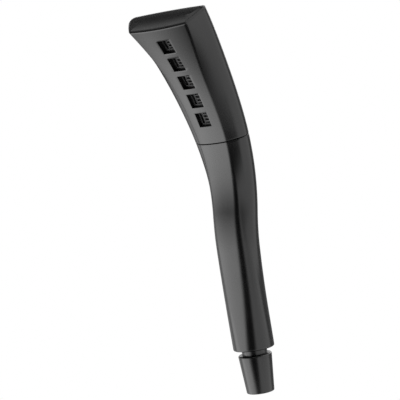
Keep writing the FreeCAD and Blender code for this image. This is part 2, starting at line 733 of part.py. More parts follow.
def make_manifold_cover():
    body = new_body("manifold_cover", chamber_placement())
    bend_round_head(body, "cover", "sizes.chamber_half_width",
                    "layout.chamber_back_radius + sizes.fit_gap",
                    "layout.chamber_back_radius + sizes.fit_gap + sizes.cover_thickness",
                    "0", "layout.chamber_angle")
    return body


# ---------------------------------------------------------------- water pipe
def make_waterway_tube():
    body = new_body("waterway_tube")
    spine = new_sketch(body, "spine", "YZ_Plane")
    ends = (("0", "layout.tube_z"), ("0", "layout.straight_top_z"),
            ("layout.bend_end_y", "layout.bend_end_z"),
            ("layout.head_start_y", "layout.head_start_z"))
    points = [VECTOR(numeric(across), numeric(along), 0) for across, along in ends]
    spine.addGeometry(Part.LineSegment(points[0], points[1]), False)
    bends = (("sizes.bend_back_radius", "layout.bend_back_y", "layout.straight_top_z"),
             ("sizes.bend_forward_radius", "layout.bend_forward_y", "layout.bend_forward_z"))
    for index, (radius, across, along) in enumerate(bends, 1):
        start, end = points[index], points[index + 1]
        centre = VECTOR(numeric(across), numeric(along), 0)
        middle = centre + VECTOR((start + end) / 2 - centre).normalize() * numeric(radius)
        spine.addGeometry(Part.Arc(start, middle, end), False)
        bind(spine, "Radius", (index,), radius)
    # The backward bend turns clockwise, so its arc starts at its upper end.
    spine.addConstraint(Sketcher.Constraint("Coincident", 0, 2, 1, 2))
    spine.addConstraint(Sketcher.Constraint("Coincident", 1, 1, 2, 1))
    pin_point(spine, 0, 1, *ends[0])
    pin_point(spine, 0, 2, *ends[1])
    pin_point(spine, 2, 1, *ends[2])
    pin_point(spine, 2, 2, *ends[3])
    ring = new_sketch(body, "ring", "XY_Plane", raised("layout.tube_z"))
    draw_circle(ring, "0", "0", "sizes.tube_radius")
    draw_circle(ring, "0", "0", "sizes.tube_bore")
    add_feature(body, "AdditivePipe", "tube", ring, Spine=(spine, ["Edge1", "Edge2", "Edge3"]))
    return body


def make_oring(name, radius, height, section, placement=None):
    body = new_body(name, placement)
    sketch = new_sketch(body, "section", "XZ_Plane")
    draw_circle(sketch, radius, height, section)
    add_feature(body, "Revolution", "ring", sketch, ReferenceAxis=(sketch, ["V_Axis"]), Angle="360")
    return body


def make_nipple_oring():
    # Midway between the nipple's groove and the tube's bore.
    radius = ("(2 * sizes.tube_bore - sizes.nipple_gap - sizes.small_groove_depth) / 2")
    centre = turned_placement(
        "layout.head_y + sizes.head_radius * cos(layout.chamber_tilt)",
        "layout.head_z + sizes.head_radius * sin(layout.chamber_tilt)", "layout.chamber_tilt")
    return make_oring("nipple_oring", radius, "-sizes.nipple_groove_below",
                      "sizes.small_oring_section", centre)


# ---------------------------------------------------------------- tail fitting and its valves
def make_tail_fitting():
    body = new_body("tail_fitting")
    stem_groove = "sizes.stem_radius - sizes.groove_depth"
    flange_groove = "layout.flange_radius - sizes.groove_depth"
    swivel_low = "layout.swivel_oring_z - layout.groove_half"
    swivel_high = "layout.swivel_oring_z + layout.groove_half"
    tail_low = "layout.flange_groove_z - layout.groove_half"
    tail_high = "layout.flange_groove_z + layout.groove_half"
    shoulder = "sizes.cone_length + sizes.end_play / 2"
    revolve(body, "fitting", (
        ("sizes.passage_radius", "layout.stem_foot_z"),
        ("sizes.stem_radius", "layout.stem_foot_z"),
        ("sizes.stem_radius", swivel_low), (stem_groove, swivel_low),
        (stem_groove, swivel_high), ("sizes.stem_radius", swivel_high),
        ("sizes.stem_radius", "layout.snap_low_z"), (stem_groove, "layout.snap_low_z"),
        (stem_groove, "layout.snap_high_z"), ("sizes.stem_radius", "layout.snap_high_z"),
        ("sizes.stem_radius", shoulder), ("sizes.neck_radius", shoulder),
        ("sizes.neck_radius", "layout.flange_z"), ("layout.flange_radius", "layout.flange_z"),
        ("layout.flange_radius", tail_low), (flange_groove, tail_low),
        (flange_groove, tail_high), ("layout.flange_radius", tail_high),
        ("layout.flange_radius", "layout.flange_top_z"),
        ("sizes.barrel_radius", "layout.flange_top_z"),
        ("sizes.barrel_radius", "layout.barrel_top_z"),
        ("sizes.valve_bore", "layout.barrel_top_z"), ("sizes.valve_bore", "layout.valve_z"),
        ("sizes.passage_radius", "layout.valve_z")))
    return body


def make_tube_socket():
    body = new_body("tube_socket")
    bore = "sizes.tube_radius + sizes.socket_gap"
    groove = "sizes.tube_radius + sizes.socket_gap + sizes.small_groove_depth"
    groove_low = "layout.socket_groove_z - layout.small_groove_half"
    groove_high = "layout.socket_groove_z + layout.small_groove_half"
    plug = "sizes.valve_bore - sizes.fit_gap"
    revolve(body, "socket", (
        ("sizes.tube_bore", "layout.plug_z"), (plug, "layout.plug_z"),
        (plug, "layout.socket_head_z"), ("sizes.barrel_radius", "layout.socket_head_z"),
        ("sizes.barrel_radius", "layout.socket_top_z"), (bore, "layout.socket_top_z"),
        (bore, groove_high), (groove, groove_high), (groove, groove_low), (bore, groove_low),
        (bore, "layout.socket_floor_z"), ("sizes.tube_bore", "layout.socket_floor_z")))
    return body


VALVES = {"lower": "layout.valve_z", "upper": "layout.upper_valve_z"}


def make_valve(position):
    """A check valve: housing with its guide, seat seal, poppet and return spring."""
    foot = raised(VALVES[position])
    outside = "sizes.valve_bore - sizes.fit_gap"
    inside = "sizes.valve_bore - sizes.fit_gap - sizes.valve_wall"
    guide_hole = "sizes.poppet_stem + sizes.running_gap"
    housing = new_body(f"{position}_valve_housing", foot)
    revolve(housing, "cup", (
        ("sizes.seat_hole", "0"), (outside, "0"), (outside, "sizes.valve_height"),
        (guide_hole, "sizes.valve_height"), (guide_hole, "layout.guide_low"),
        (inside, "layout.guide_low"), (inside, "sizes.seat_height"),
        ("sizes.seat_hole", "sizes.seat_height")))
    window = new_sketch(housing, "water_way", "XY_Plane", raised("sizes.valve_height"))
    middle = f"({guide_hole} + {inside}) / 2"
    draw_circle(window, middle, "0", "sizes.guide_window")
    first = pocket(housing, "water_way_cut", window, "sizes.guide_height")
    polar_pattern(housing, "water_ways", first, window, "sizes.guide_window_count")

    seal = new_body(f"{position}_seat_seal", foot)
    seal_bore = "sizes.seat_hole + sizes.fit_gap"
    seal_rim = f"{seal_bore} + sizes.seat_seal_width"
    seal_top = "layout.seal_rest + sizes.seat_seal_height"
    revolve(seal, "ring", (
        (seal_bore, "layout.seal_rest"), (seal_rim, "layout.seal_rest"),
        (seal_rim, seal_top), (seal_bore, seal_top)))

    poppet = new_body(f"{position}_poppet", foot)
    stem_top = "layout.guide_low + sizes.stem_past_guide"
    revolve(poppet, "disc", (
        ("0", "layout.poppet_rest"), ("sizes.poppet_radius", "layout.poppet_rest"),
        ("sizes.poppet_radius", "layout.poppet_back"), ("sizes.poppet_stem", "layout.poppet_back"),
        ("sizes.poppet_stem", stem_top), ("0", stem_top)))

    spring = new_body(f"{position}_spring", foot)
    wire = new_sketch(spring, "wire", "XZ_Plane")
    wire_room = "(sizes.spring_wire + sizes.fit_gap)"
    draw_circle(wire, "sizes.spring_radius", f"layout.poppet_back + {wire_room}",
                "sizes.spring_wire")
    height = f"layout.guide_low - layout.poppet_back - 2 * {wire_room}"
    add_feature(spring, "AdditiveHelix", "coil", wire, ReferenceAxis=(wire, ["V_Axis"]),
                Mode="pitch-height-angle", Height=height, Pitch=f"({height}) / sizes.spring_turns")


# ---------------------------------------------------------------- hose end
def make_connector_cone():
    body = new_body("connector_cone")
    bore = "sizes.stem_radius + sizes.running_gap"
    groove = f"{bore} + sizes.groove_depth"
    revolve(body, "cone", (
        ("sizes.hose_bore", "0"), ("sizes.cone_foot_radius", "0"),
        ("sizes.cone_top_radius", "sizes.cone_length"), (bore, "sizes.cone_length"),
        (bore, "layout.snap_high_z"), (groove, "layout.snap_high_z"),
        (groove, "layout.snap_low_z"), (bore, "layout.snap_low_z"),
        (bore, "layout.stem_seat_z"), ("sizes.disc_radius", "layout.stem_seat_z"),
        ("sizes.disc_radius", "layout.disc_z"), ("sizes.washer_radius", "layout.disc_z"),
        ("sizes.washer_radius", "sizes.hose_depth"), ("sizes.hose_bore", "sizes.hose_depth")))
    outer_top = value_of("cone_top_radius")
    shoulder = [f"Edge{index}" for index, edge in enumerate(body.Tip.Shape.Edges, 1)
                if edge.Curve.TypeId == "Part::GeomCircle"
                and abs(edge.Curve.Radius - outer_top) < TINY]
    round_edges(body, "shoulder", shoulder, "sizes.cone_shoulder_round")
    return body


def make_swivel_ring():
    body = new_body("swivel_ring")
    inner = "sizes.stem_radius - sizes.groove_depth + sizes.fit_gap"
    outer = "sizes.stem_radius + sizes.running_gap + sizes.groove_depth - sizes.fit_gap"
    low = "layout.snap_low_z + sizes.fit_gap"
    high = "layout.snap_high_z - sizes.fit_gap"
    revolve(body, "ring", ((inner, low), (outer, low), (outer, high), (inner, high)),
            angle="360 - sizes.ring_split / sizes.stem_radius * 180 / pi")
    return body


def make_hose_washer():
    body = new_body("hose_washer")
    outer = "sizes.washer_radius - sizes.fit_gap"
    low = "sizes.hose_depth"
    high = "layout.disc_z - sizes.fit_gap"
    revolve(body, "washer", (("sizes.washer_bore", low), (outer, low), (outer, high),
                             ("sizes.washer_bore", high)))
    return body


def make_inlet_screen():
    body = new_body("inlet_screen", raised("layout.disc_z + sizes.fit_gap"))
    radius = "sizes.disc_radius - sizes.fit_gap"
    revolve(body, "disc", (("0", "0"), (radius, "0"), (radius, "sizes.screen_height"),
                           ("0", "sizes.screen_height")))
    middle = new_sketch(body, "middle_hole", "XY_Plane", raised("sizes.screen_height"))
    draw_circle(middle, "0", "0", "sizes.screen_hole")
    pocket_through(body, "middle_hole_cut", middle)
    for ring in (1, 2):
        hole = new_sketch(body, f"ring_{ring}", "XY_Plane", raised("sizes.screen_height"))
        draw_circle(hole, f"{ring} * sizes.screen_pitch", "0", "sizes.screen_hole")
        first = pocket_through(body, f"ring_{ring}_cut", hole)
        polar_pattern(body, f"ring_{ring}_holes", first, hole, f"{6 * ring}")
    return body


def make_flow_regulator():
    body = new_body("flow_regulator",
                    raised("layout.disc_z + 2 * sizes.fit_gap + sizes.screen_height"))
    radius = "sizes.disc_radius - sizes.fit_gap"
    rim = f"{radius} - sizes.groove_depth"
    web = "sizes.regulator_height / 2"
    revolve(body, "disc", (
        ("sizes.regulator_hole", "0"), (radius, "0"), (radius, "sizes.regulator_height"),
        (rim, "sizes.regulator_height"), (rim, web), ("sizes.regulator_hole", web)))
    return body


# ---------------------------------------------------------------- the whole shower head
make_head_shell()
make_handle_shell()
make_joint_collar()
for window_index in range(int(value_of("window_count"))):
    make_spray_insert(window_index)
    make_insert_seal(window_index)
make_manifold_body()
make_manifold_cover()
make_waterway_tube()
make_nipple_oring()
make_tail_fitting()
make_tube_socket()
make_oring("tube_oring",
           "sizes.tube_radius + (sizes.socket_gap + sizes.small_groove_depth) / 2",
           "layout.socket_groove_z", "sizes.small_oring_section")
make_oring("tail_oring",
           "(sizes.tail_radius - sizes.wall + layout.flange_radius - sizes.groove_depth) / 2",
           "layout.flange_groove_z", "sizes.oring_section")
for valve_position in VALVES:
    make_valve(valve_position)
make_connector_cone()
make_swivel_ring()
make_oring("swivel_oring",
           "sizes.stem_radius + (sizes.running_gap - sizes.groove_depth) / 2",
           "layout.swivel_oring_z", "sizes.oring_section")
make_hose_washer()
make_inlet_screen()
make_flow_regulator()
doc.recompute()

for item in doc.Objects:
    if "Invalid" in item.State or "Error" in item.State:
        raise RuntimeError(f"{item.Name} did not compute: {item.State}")
for node in nodes:
    if node.Shape.isNull() or not node.Shape.isValid() or not node.Shape.Solids:
        raise RuntimeError(f"{node.Label} has no valid shape")
os.makedirs("parts", exist_ok=True)
for node in nodes:
    node.Shape.exportStep(os.path.join("parts", f"{node.Label}.step"))
    print(node.Label, len(node.Shape.Solids), round(node.Shape.Volume, 1))
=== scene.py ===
"""Handheld shower head: casings, hose end, spray inserts and finishes, modelled round the design."""
import json
import math
from typing import NamedTuple

import bpy
from mathutils import Matrix, Vector

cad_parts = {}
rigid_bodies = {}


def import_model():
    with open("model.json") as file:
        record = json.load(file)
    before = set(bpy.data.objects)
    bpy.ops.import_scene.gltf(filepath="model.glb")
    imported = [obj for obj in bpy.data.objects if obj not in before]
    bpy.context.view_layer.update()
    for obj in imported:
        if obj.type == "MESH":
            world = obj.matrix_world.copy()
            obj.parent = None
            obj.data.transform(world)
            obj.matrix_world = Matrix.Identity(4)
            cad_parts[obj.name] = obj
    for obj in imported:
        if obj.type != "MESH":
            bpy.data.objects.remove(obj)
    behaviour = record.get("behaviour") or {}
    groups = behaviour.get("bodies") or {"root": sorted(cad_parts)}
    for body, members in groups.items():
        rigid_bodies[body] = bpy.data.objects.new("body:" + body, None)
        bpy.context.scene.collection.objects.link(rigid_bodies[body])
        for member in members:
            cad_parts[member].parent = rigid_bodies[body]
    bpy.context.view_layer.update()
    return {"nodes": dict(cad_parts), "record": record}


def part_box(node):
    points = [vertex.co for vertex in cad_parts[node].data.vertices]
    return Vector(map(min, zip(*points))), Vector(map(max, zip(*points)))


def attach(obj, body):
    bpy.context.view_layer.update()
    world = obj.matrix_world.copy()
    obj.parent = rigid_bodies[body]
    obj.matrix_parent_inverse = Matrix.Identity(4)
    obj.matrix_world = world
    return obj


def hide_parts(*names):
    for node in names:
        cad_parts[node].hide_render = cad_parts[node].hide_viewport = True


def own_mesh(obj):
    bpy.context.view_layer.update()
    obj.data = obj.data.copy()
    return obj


bl_info = {
    "name": "Handheld Shower Head",
    "version": (1, 0, 0),
    "blender": (4, 5, 0),
    "location": "3D View > Sidebar > Shower Head",
    "description": "Models a handheld shower head with its finishes, stage and camera",
    "category": "Object",
}

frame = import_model()
MM = 0.001
MERGE_DISTANCE = 1e-6
TAIL_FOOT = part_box("handle_shell")[0].z
CONE_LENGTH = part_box("connector_cone")[1].z
INSERTS = sorted(name for name in frame["nodes"] if name.startswith("spray_insert_"))


# ------------------------------------------------------------------ sizes and colours
def length(name, value, description):
    return bpy.props.FloatProperty(name=name, description=description, default=value,
                                   subtype="DISTANCE", unit="LENGTH", precision=5)


def angle(name, degrees, description):
    return bpy.props.FloatProperty(name=name, description=description,
                                   default=math.radians(degrees), subtype="ANGLE",
                                   unit="ROTATION")


def factor(name, value, description):
    return bpy.props.FloatProperty(name=name, description=description, default=value, min=0.0,
                                   max=1.0, subtype="FACTOR")


def colour(name, value, description):
    return bpy.props.FloatVectorProperty(name=name, description=description, default=value,
                                         size=3, min=0.0, max=1.0, subtype="COLOR")


class WandSizes(bpy.types.PropertyGroup):
    """How the wand runs and how thick its casings are."""
    straight: length("Straight Grip", 72.0 * MM, "Straight stretch above the grip's rim")
    back_radius: length("Back Bend Radius", 207.0 * MM, "Backward bend of the grip")
    back_angle: angle("Back Bend", 7.0, "Turn of the backward bend")
    forward_radius: length("Forward Bend Radius", 150.0 * MM, "Forward bend below the head")
    forward_angle: angle("Forward Bend", 24.1, "Turn of the forward bend")
    head_radius: length("Head Curve Radius", 273.5 * MM, "Curve of the head")
    head_angle: angle("Head Curve", 18.2, "Turn of the head's curve")
    joint_tilt: angle("Joint Tilt", 13.3, "Lean of the wand where head and grip meet")
    joint_gap: length("Joint Gap", 0.4 * MM, "Fine gap between head and grip")
    wall: length("Wall", 2.4 * MM, "Thickness of the casings")
    end_wall: length("End Wall", 2.6 * MM, "Thickness of the head's closed end")
    rim_round: length("Rim Rounding", 1.1 * MM, "Rounding of the grip's lower rim")
    joint_round: length("Joint Rounding", 0.35 * MM, "Rounding of both edges at the joint")
    end_bevel: length("End Bevel", 1.0 * MM, "Width of the bevel round the head's closed end")
    end_bevel_drop: length("End Bevel Drop", 0.6 * MM, "Height of that bevel")
    end_crown: length("End Crown", 0.9 * MM, "How far the head's closed end bulges")
    ring_spacing: length("Ring Spacing", 1.5 * MM, "Distance between rings of the mesh")


class WindowSizes(bpy.types.PropertyGroup):
    """The square spray windows in the head's face."""
    count: bpy.props.IntProperty(name="Windows", description="Windows in the row",
                                 default=len(INSERTS), min=1, max=9)
    width: length("Window", 10.7 * MM, "Side of a window")
    pitch: angle("Window Pitch", 3.23, "Angle from window to window along the head's curve")
    first: angle("First Window", 1.98, "Angle from the head's start to the lowest window")
    frame_wall: length("Frame Wall", 1.2 * MM, "Frame behind the face round each window")
    frame_root: length("Frame Root", 1.0 * MM, "Face to where the frame leaves the wall")
    frame_depth: length("Frame Depth", 5.4 * MM, "Face to the back of the frame")
    rim_round: length("Window Edge", 0.16 * MM, "Rounding of a window's edge")
    insert_round: length("Insert Edge", 0.12 * MM, "Rounding of the inserts' edges")


class HoseEndSizes(bpy.types.PropertyGroup):
    """The conical hose end."""
    foot_radius: length("Foot Radius", 9.8 * MM, "Outside at the lower rim")
    top_radius: length("Shoulder Radius", 12.0 * MM, "Outside at the shoulder")
    foot_round: length("Foot Rounding", 0.55 * MM, "Rounding of the lower rim")
    shoulder_round: length("Shoulder Rounding", 0.9 * MM, "Rounding of the shoulder")
    mouth_round: length("Mouth Rounding", 0.4 * MM, "Rounding inside the socket's mouth")
    socket_radius: length("Socket Radius", 7.0 * MM, "Socket for the hose's sleeve")
    socket_depth: length("Socket Depth", 10.0 * MM, "Depth of that socket")
    washer_radius: length("Washer Bore", 6.4 * MM, "Bore round the washer")
    washer_top: length("Washer Top", 12.0 * MM, "Top of the washer above the rim")
    disc_radius: length("Disc Bore", 5.5 * MM, "Bore round the strainer and regulator")
    stem_foot: length("Stem Seat", 15.4 * MM, "Seat below the stem above the rim")
    stem_radius: length("Stem Bore", 8.06 * MM, "Bore that turns on the stem")
    groove_depth: length("Groove Depth", 1.0 * MM, "Groove for the snap ring")
    groove_top: length("Groove Top", 24.2 * MM, "Top of that groove above the rim")
    groove_height: length("Groove Height", 1.2 * MM, "Height of that groove")


class FinishColours(bpy.types.PropertyGroup):
    """Colours and gloss of the finishes."""
    shell: colour("Casing", (0.0011, 0.0011, 0.0012), "Satin black coating")
    shell_fleck: colour("Casing Fleck", (0.0032, 0.0032, 0.0034), "Lighter flecks in the coating")
    shell_gloss: factor("Casing Roughness", 0.23, "Smoothest patches of the coating")
    fitting: colour("Fitting", (0.002, 0.002, 0.0022), "Black moulded nylon")
    insert: colour("Spray Insert", (0.0016, 0.0016, 0.0018), "Soft black plastic")
    inner: colour("Inner Plastic", (0.30, 0.31, 0.32), "Grey moulded plastic inside")
    valve: colour("Valve Plastic", (0.72, 0.72, 0.68), "Pale valve plastic")
    rubber: colour("Rubber", (0.012, 0.012, 0.012), "Seals")
    steel: colour("Steel", (0.56, 0.56, 0.57), "Springs, ring and strainer")


class StageSizes(bpy.types.PropertyGroup):
    """Floor, camera and light."""
    floor_drop: length("Floor Drop", 120.0 * MM, "Floor below the hose end")
    floor_size: length("Floor Size", 12.0, "Side of the floor")
    azimuth: angle("Camera Azimuth", 40.0, "Camera, round from the front")
    elevation: angle("Camera Elevation", 5.67, "Camera, above the horizon")
    roll: angle("Camera Roll", 8.9, "Turn of the camera about its view")
    distance: length("Camera Distance", 1.1645, "Camera from the middle of the wand")
    middle: length("Middle Height", 130.0 * MM, "Height of the middle that the camera circles")
    lens: bpy.props.FloatProperty(name="Lens", description="Focal length", default=149.38,
                                  subtype="DISTANCE_CAMERA")
    aim: bpy.props.FloatVectorProperty(name="Aim", description="Point the camera looks at",
                                       default=(-17.24 * MM, -13.04 * MM, 140.97 * MM), size=3,
                                       subtype="TRANSLATION", unit="LENGTH")


GROUPS = {
    "shower_wand": WandSizes,
    "shower_windows": WindowSizes,
    "shower_hose_end": HoseEndSizes,
    "shower_finish": FinishColours,
    "shower_stage": StageSizes,
}


# ------------------------------------------------------------------ working in edit mode
def deselect_all():
    for item in bpy.context.view_layer.objects:
        item.select_set(False)


def start(piece):
    """Makes a piece the only selected and active object."""
    deselect_all()
    piece.select_set(True)
    bpy.context.view_layer.objects.active = piece


def name_new(name):
    """Names the object that an operator has just added."""
    piece = bpy.context.object
    piece.name = name
    piece.data.name = name
    return piece


def edit(piece, *steps):
    """Runs edit-mode steps on all of a piece."""
    start(piece)
    bpy.ops.object.mode_set(mode="EDIT")
    bpy.ops.mesh.select_all(action="SELECT")
    for step in steps:
        step()
    bpy.ops.object.mode_set(mode="OBJECT")


def merge_and_turn_out():
    """Merges doubled points and turns the faces outwards."""
    bpy.ops.mesh.remove_doubles(threshold=MERGE_DISTANCE)
    bpy.ops.mesh.normals_make_consistent(inside=False)


def close_holes():
    """Fills the open ends of a skin and turns its faces outwards."""
    bpy.ops.mesh.remove_doubles(threshold=MERGE_DISTANCE)
    bpy.ops.mesh.select_all(action="DESELECT")
    bpy.ops.mesh.select_non_manifold()
    bpy.ops.mesh.edge_face_add()
    bpy.ops.mesh.select_all(action="SELECT")
    bpy.ops.mesh.normals_make_consistent(inside=False)


def apply_modifier(piece, kind, **settings):
    start(piece)
    modifier = piece.modifiers.new(kind.title(), kind)
    for key, setting in settings.items():
        setattr(modifier, key, setting)
    bpy.ops.object.modifier_apply(modifier=modifier.name)


def combine(piece, tool, operation):
    """Adds or cuts away another piece, which is then deleted."""
    apply_modifier(piece, "BOOLEAN", object=tool, operation=operation, solver="EXACT")
    bpy.data.objects.remove(tool)


SMOOTH_ANGLE = math.radians(30.0)


def shade(piece):
    """Shades a piece smooth, apart from its sharp edges."""
    start(piece)
    bpy.ops.object.shade_smooth_by_angle(angle=SMOOTH_ANGLE)


def finish_piece(piece, material, slot, body, *replaced):
    """Gives a piece its finish and its body, and hides the design nodes that it stands for."""
    piece.data.materials.clear()
    piece.data.materials.append(material)
    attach(piece, body)
    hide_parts(*replaced)


# ------------------------------------------------------------------ the wand's surface
class Section(NamedTuple):
    """A rounded four-sided section: half widths, depth, corner radii and crowns."""
    half_front: float
    half_back: float
    depth: float
    front_corner: float
    back_corner: float
    front_bulge: float
    back_bulge: float


def section(half_front, half_back, depth, front_corner, back_corner, front_crown, back_crown):
    """A section in metres from millimetres; crowns are kept as curvatures, which blend well."""
    return Section(half_front * MM, half_back * MM, depth * MM, front_corner * MM,
                   back_corner * MM, 1 / (front_crown * MM), 1 / (back_crown * MM))


PALM_HEIGHT = 40.0 * MM
UPPER_GRIP_TILT = math.radians(3.4)
SMALLEST_CORNER = 0.2 * MM
SIDE_CROWN = 65.0 * MM
ROUND_TAIL = section(14.5, 14.5, 29.0, 14.1, 14.1, 60.0, 60.0)
PALM = section(14.8, 14.3, 25.6, 10.5, 12.0, 40.0, 60.0)
BEND_START = section(14.6, 15.1, 24.0, 8.6, 10.4, 42.0, 70.0)
BEND_END = section(14.0, 16.8, 23.0, 7.2, 9.4, 45.0, 90.0)
UPPER_GRIP = section(14.4, 19.6, 20.8, 6.0, 8.4, 50.0, 130.0)
JOINT = section(15.6, 22.5, 18.9, 5.6, 7.5, 58.0, 200.0)
MID_HEAD = section(19.1, 28.0, 18.9, 5.2, 6.4, 86.0, 350.0)
TOP = section(27.6, 34.3, 18.9, 3.8, 4.4, 210.0, 600.0)

# Mesh steps along each stretch of a section.
FRONT_STEPS = 12
CORNER_STEPS = 8
SIDE_STEPS = 6
BACK_STEPS = 16


class Spine:
    """The wand's middle line, by distance from the grip's lower rim."""

    def __init__(self, sizes):
        self.sizes = sizes
        self.bend_start = sizes.straight
        self.bend_end = self.bend_start + sizes.back_radius * sizes.back_angle
        self.head_start = self.bend_end + sizes.forward_radius * sizes.forward_angle
        self.end = self.head_start + sizes.head_radius * sizes.head_angle
        self.head_start_tilt = sizes.forward_angle - sizes.back_angle
        back = Vector((sizes.back_radius, TAIL_FOOT + sizes.straight))
        bend_end = back - sizes.back_radius * self.outward(-sizes.back_angle)
        self.forward_centre = bend_end - sizes.forward_radius * self.outward(-sizes.back_angle)
        self.back_centre = back
        self.head_centre = self.forward_centre + (
            sizes.forward_radius - sizes.head_radius) * self.outward(self.head_start_tilt)

    @staticmethod
    def outward(tilt):
        """Direction across the wand towards its back, as (y, z)."""
        return Vector((math.cos(tilt), math.sin(tilt)))

    def at_tilt(self, tilt):
        """Distance along the spine where its forward bend leans by a tilt."""
        return self.bend_end + self.sizes.forward_radius * (tilt + self.sizes.back_angle)

    def at(self, distance):
        """Place (y, z) and tilt at a distance."""
        sizes = self.sizes
        if distance <= self.bend_start:
            return Vector((0.0, TAIL_FOOT + distance)), 0.0
        if distance <= self.bend_end:
            tilt = (self.bend_start - distance) / sizes.back_radius
            return self.back_centre - sizes.back_radius * self.outward(tilt), tilt
        if distance <= self.head_start:
            tilt = (distance - self.bend_end) / sizes.forward_radius - sizes.back_angle
            return self.forward_centre + sizes.forward_radius * self.outward(tilt), tilt
        tilt = (distance - self.head_start) / sizes.head_radius + self.head_start_tilt
        return self.head_centre + sizes.head_radius * self.outward(tilt), tilt

    def point(self, distance, across, back, lift=0.0):
        """A point given across the wand, towards its back and up its line."""
        middle, tilt = self.at(distance)
        outward = self.outward(tilt)
        return Vector((across, middle.x + back * outward.x - lift * outward.y,
                       middle.y + back * outward.y + lift * outward.x))

    def stations(self):
        middle = (self.head_start + self.end) / 2
        return ((0.0, ROUND_TAIL), (PALM_HEIGHT, PALM), (self.bend_start, BEND_START),
                (self.bend_end, BEND_END), (self.at_tilt(UPPER_GRIP_TILT), UPPER_GRIP),
                (self.at_tilt(self.sizes.joint_tilt), JOINT), (middle, MID_HEAD),
                (self.end, TOP))


def blended_section(stations, distance):
    """The section at a distance, on smooth cubic curves through the stations' sizes."""
    count = len(stations)
    index = max(i for i in range(count - 1) if stations[i][0] <= max(distance, 0.0))

    def slope(i, field):
        low, high = max(i - 1, 0), min(i + 1, count - 1)
        return ((stations[high][1][field] - stations[low][1][field])
                / (stations[high][0] - stations[low][0]))

    start_at, start_shape = stations[index]
    end_at, end_shape = stations[index + 1]
    span = end_at - start_at
    t = min((distance - start_at) / span, 1.0)
    start_weight = 2 * t**3 - 3 * t**2 + 1
    start_slope_weight = (t**3 - 2 * t**2 + t) * span
    end_weight = 3 * t**2 - 2 * t**3
    end_slope_weight = (t**3 - t**2) * span
    return Section(*(start_weight * start_shape[field] + start_slope_weight * slope(index, field)
                     + end_weight * end_shape[field] + end_slope_weight * slope(index + 1, field)
                     for field in range(len(Section._fields))))


def arc_points(centre, radius, first, last, steps):
    """Points on an arc from one angle to another, without its last point."""
    for step in range(steps):
        turn = first + (last - first) * step / steps
        yield Vector((centre.x + radius * math.cos(turn), centre.y + radius * math.sin(turn)))


def heading(start_at, end_at):
    """Angle of the line from one point to another."""
    run = end_at - start_at
    return math.atan2(run.y, run.x)


def crown_centre(first, first_reach, second, second_reach):
    """The point on the wand's side of two points that lies a given reach from each."""
    run = second - first
    along = (first_reach**2 - second_reach**2 + run.length_squared) / (2 * run.length)
    across = math.sqrt(first_reach**2 - along**2)
    line = run.normalized()
    return first + along * line - across * Vector((line.y, -line.x))


def section_outline(shape, inset):
    """Points round a section set in by a distance, anticlockwise from the front's left end."""
    half_depth = shape.depth / 2 - inset
    front_radius = max(shape.front_corner - inset, SMALLEST_CORNER)
    back_radius = max(shape.back_corner - inset, SMALLEST_CORNER)
    front_crown = max(1 / shape.front_bulge - inset, 2 * shape.half_front)
    back_crown = max(1 / shape.back_bulge - inset, 2 * shape.half_back)
    front = Vector((shape.half_front - inset - front_radius, front_radius - half_depth))
    back = Vector((shape.half_back - inset - back_radius, half_depth - back_radius))
    front_rise = math.sqrt((front_crown - front_radius)**2 - front.x**2)
    back_rise = math.sqrt((back_crown - back_radius)**2 - back.x**2)
    front_centre = Vector((0.0, front.y + front_rise))
    back_centre = Vector((0.0, back.y - back_rise))
    front_join = -math.pi / 2 + math.asin(front.x / (front_crown - front_radius))
    back_join = math.pi / 2 - math.asin(back.x / (back_crown - back_radius))
    side_crown = SIDE_CROWN - inset
    side_centre = crown_centre(front, side_crown - front_radius, back, side_crown - back_radius)
    side_low = heading(side_centre, front)
    side_high = heading(side_centre, back)
    right = list(arc_points(front_centre, front_crown, -math.pi / 2, front_join,
                            FRONT_STEPS // 2))
    right += list(arc_points(front, front_radius, front_join, side_low, CORNER_STEPS))
    right += list(arc_points(side_centre, side_crown, side_low, side_high, SIDE_STEPS))
    right += list(arc_points(back, back_radius, side_high, back_join, CORNER_STEPS))
    right += list(arc_points(back_centre, back_crown, back_join, math.pi / 2,
                             BACK_STEPS // 2))
    top = Vector((0.0, back_centre.y + back_crown))
    left = [Vector((-p.x, p.y)) for p in reversed(right[1:])]
    return right + [top] + left


def skin(name, spine, rows):
    """A closed skin whose rings are (distance, inset, lift) rows along the wand."""
    stations = spine.stations()
    rings = []
    for distance, inset, lift in rows:
        outline = section_outline(blended_section(stations, distance), inset)
        rings.append([spine.point(distance, p.x, p.y, lift) for p in outline])
    around = len(rings[0])
    deselect_all()
    bpy.ops.mesh.primitive_grid_add(x_subdivisions=around, y_subdivisions=len(rows) - 1,
                                    size=1.0)
    piece = name_new(name)
    for number, vertex in enumerate(piece.data.vertices):
        row, column = divmod(number, around + 1)
        vertex.co = rings[row][column % around]
    return piece


def spaced(first, last, spacing):
    """Evenly spaced distances from one to another, both included."""
    steps = max(1, round(abs(last - first) / spacing))
    return [first + (last - first) * step / steps for step in range(steps + 1)]


ROUND_STEPS = 4


def rounded_edge(end, direction, radius):
    """Rows that turn from the outside into an end face; direction is +1 at an upper end."""
    rows = []
    for step in range(ROUND_STEPS + 1):
        turn = math.pi / 2 * step / ROUND_STEPS
        rows.append((end - direction * radius * (1 - math.sin(turn)),
                     radius * (1 - math.cos(turn)), 0.0))
    return rows


BEVEL_BLEND = 0.12  # share of the bevel that each blunted edge takes


def bevelled_edge(end, drop, width):
    """Rows down a bevel whose two edges are blunted, from the outside to the upper end face."""
    return [(end - drop * (1 + BEVEL_BLEND), 0.0, 0.0),
            (end - drop * (1 - BEVEL_BLEND), width * BEVEL_BLEND / 2, 0.0),
            (end - drop * BEVEL_BLEND, width * (1 - BEVEL_BLEND), 0.0),
            (end, width * (1 + BEVEL_BLEND / 2), 0.0)]


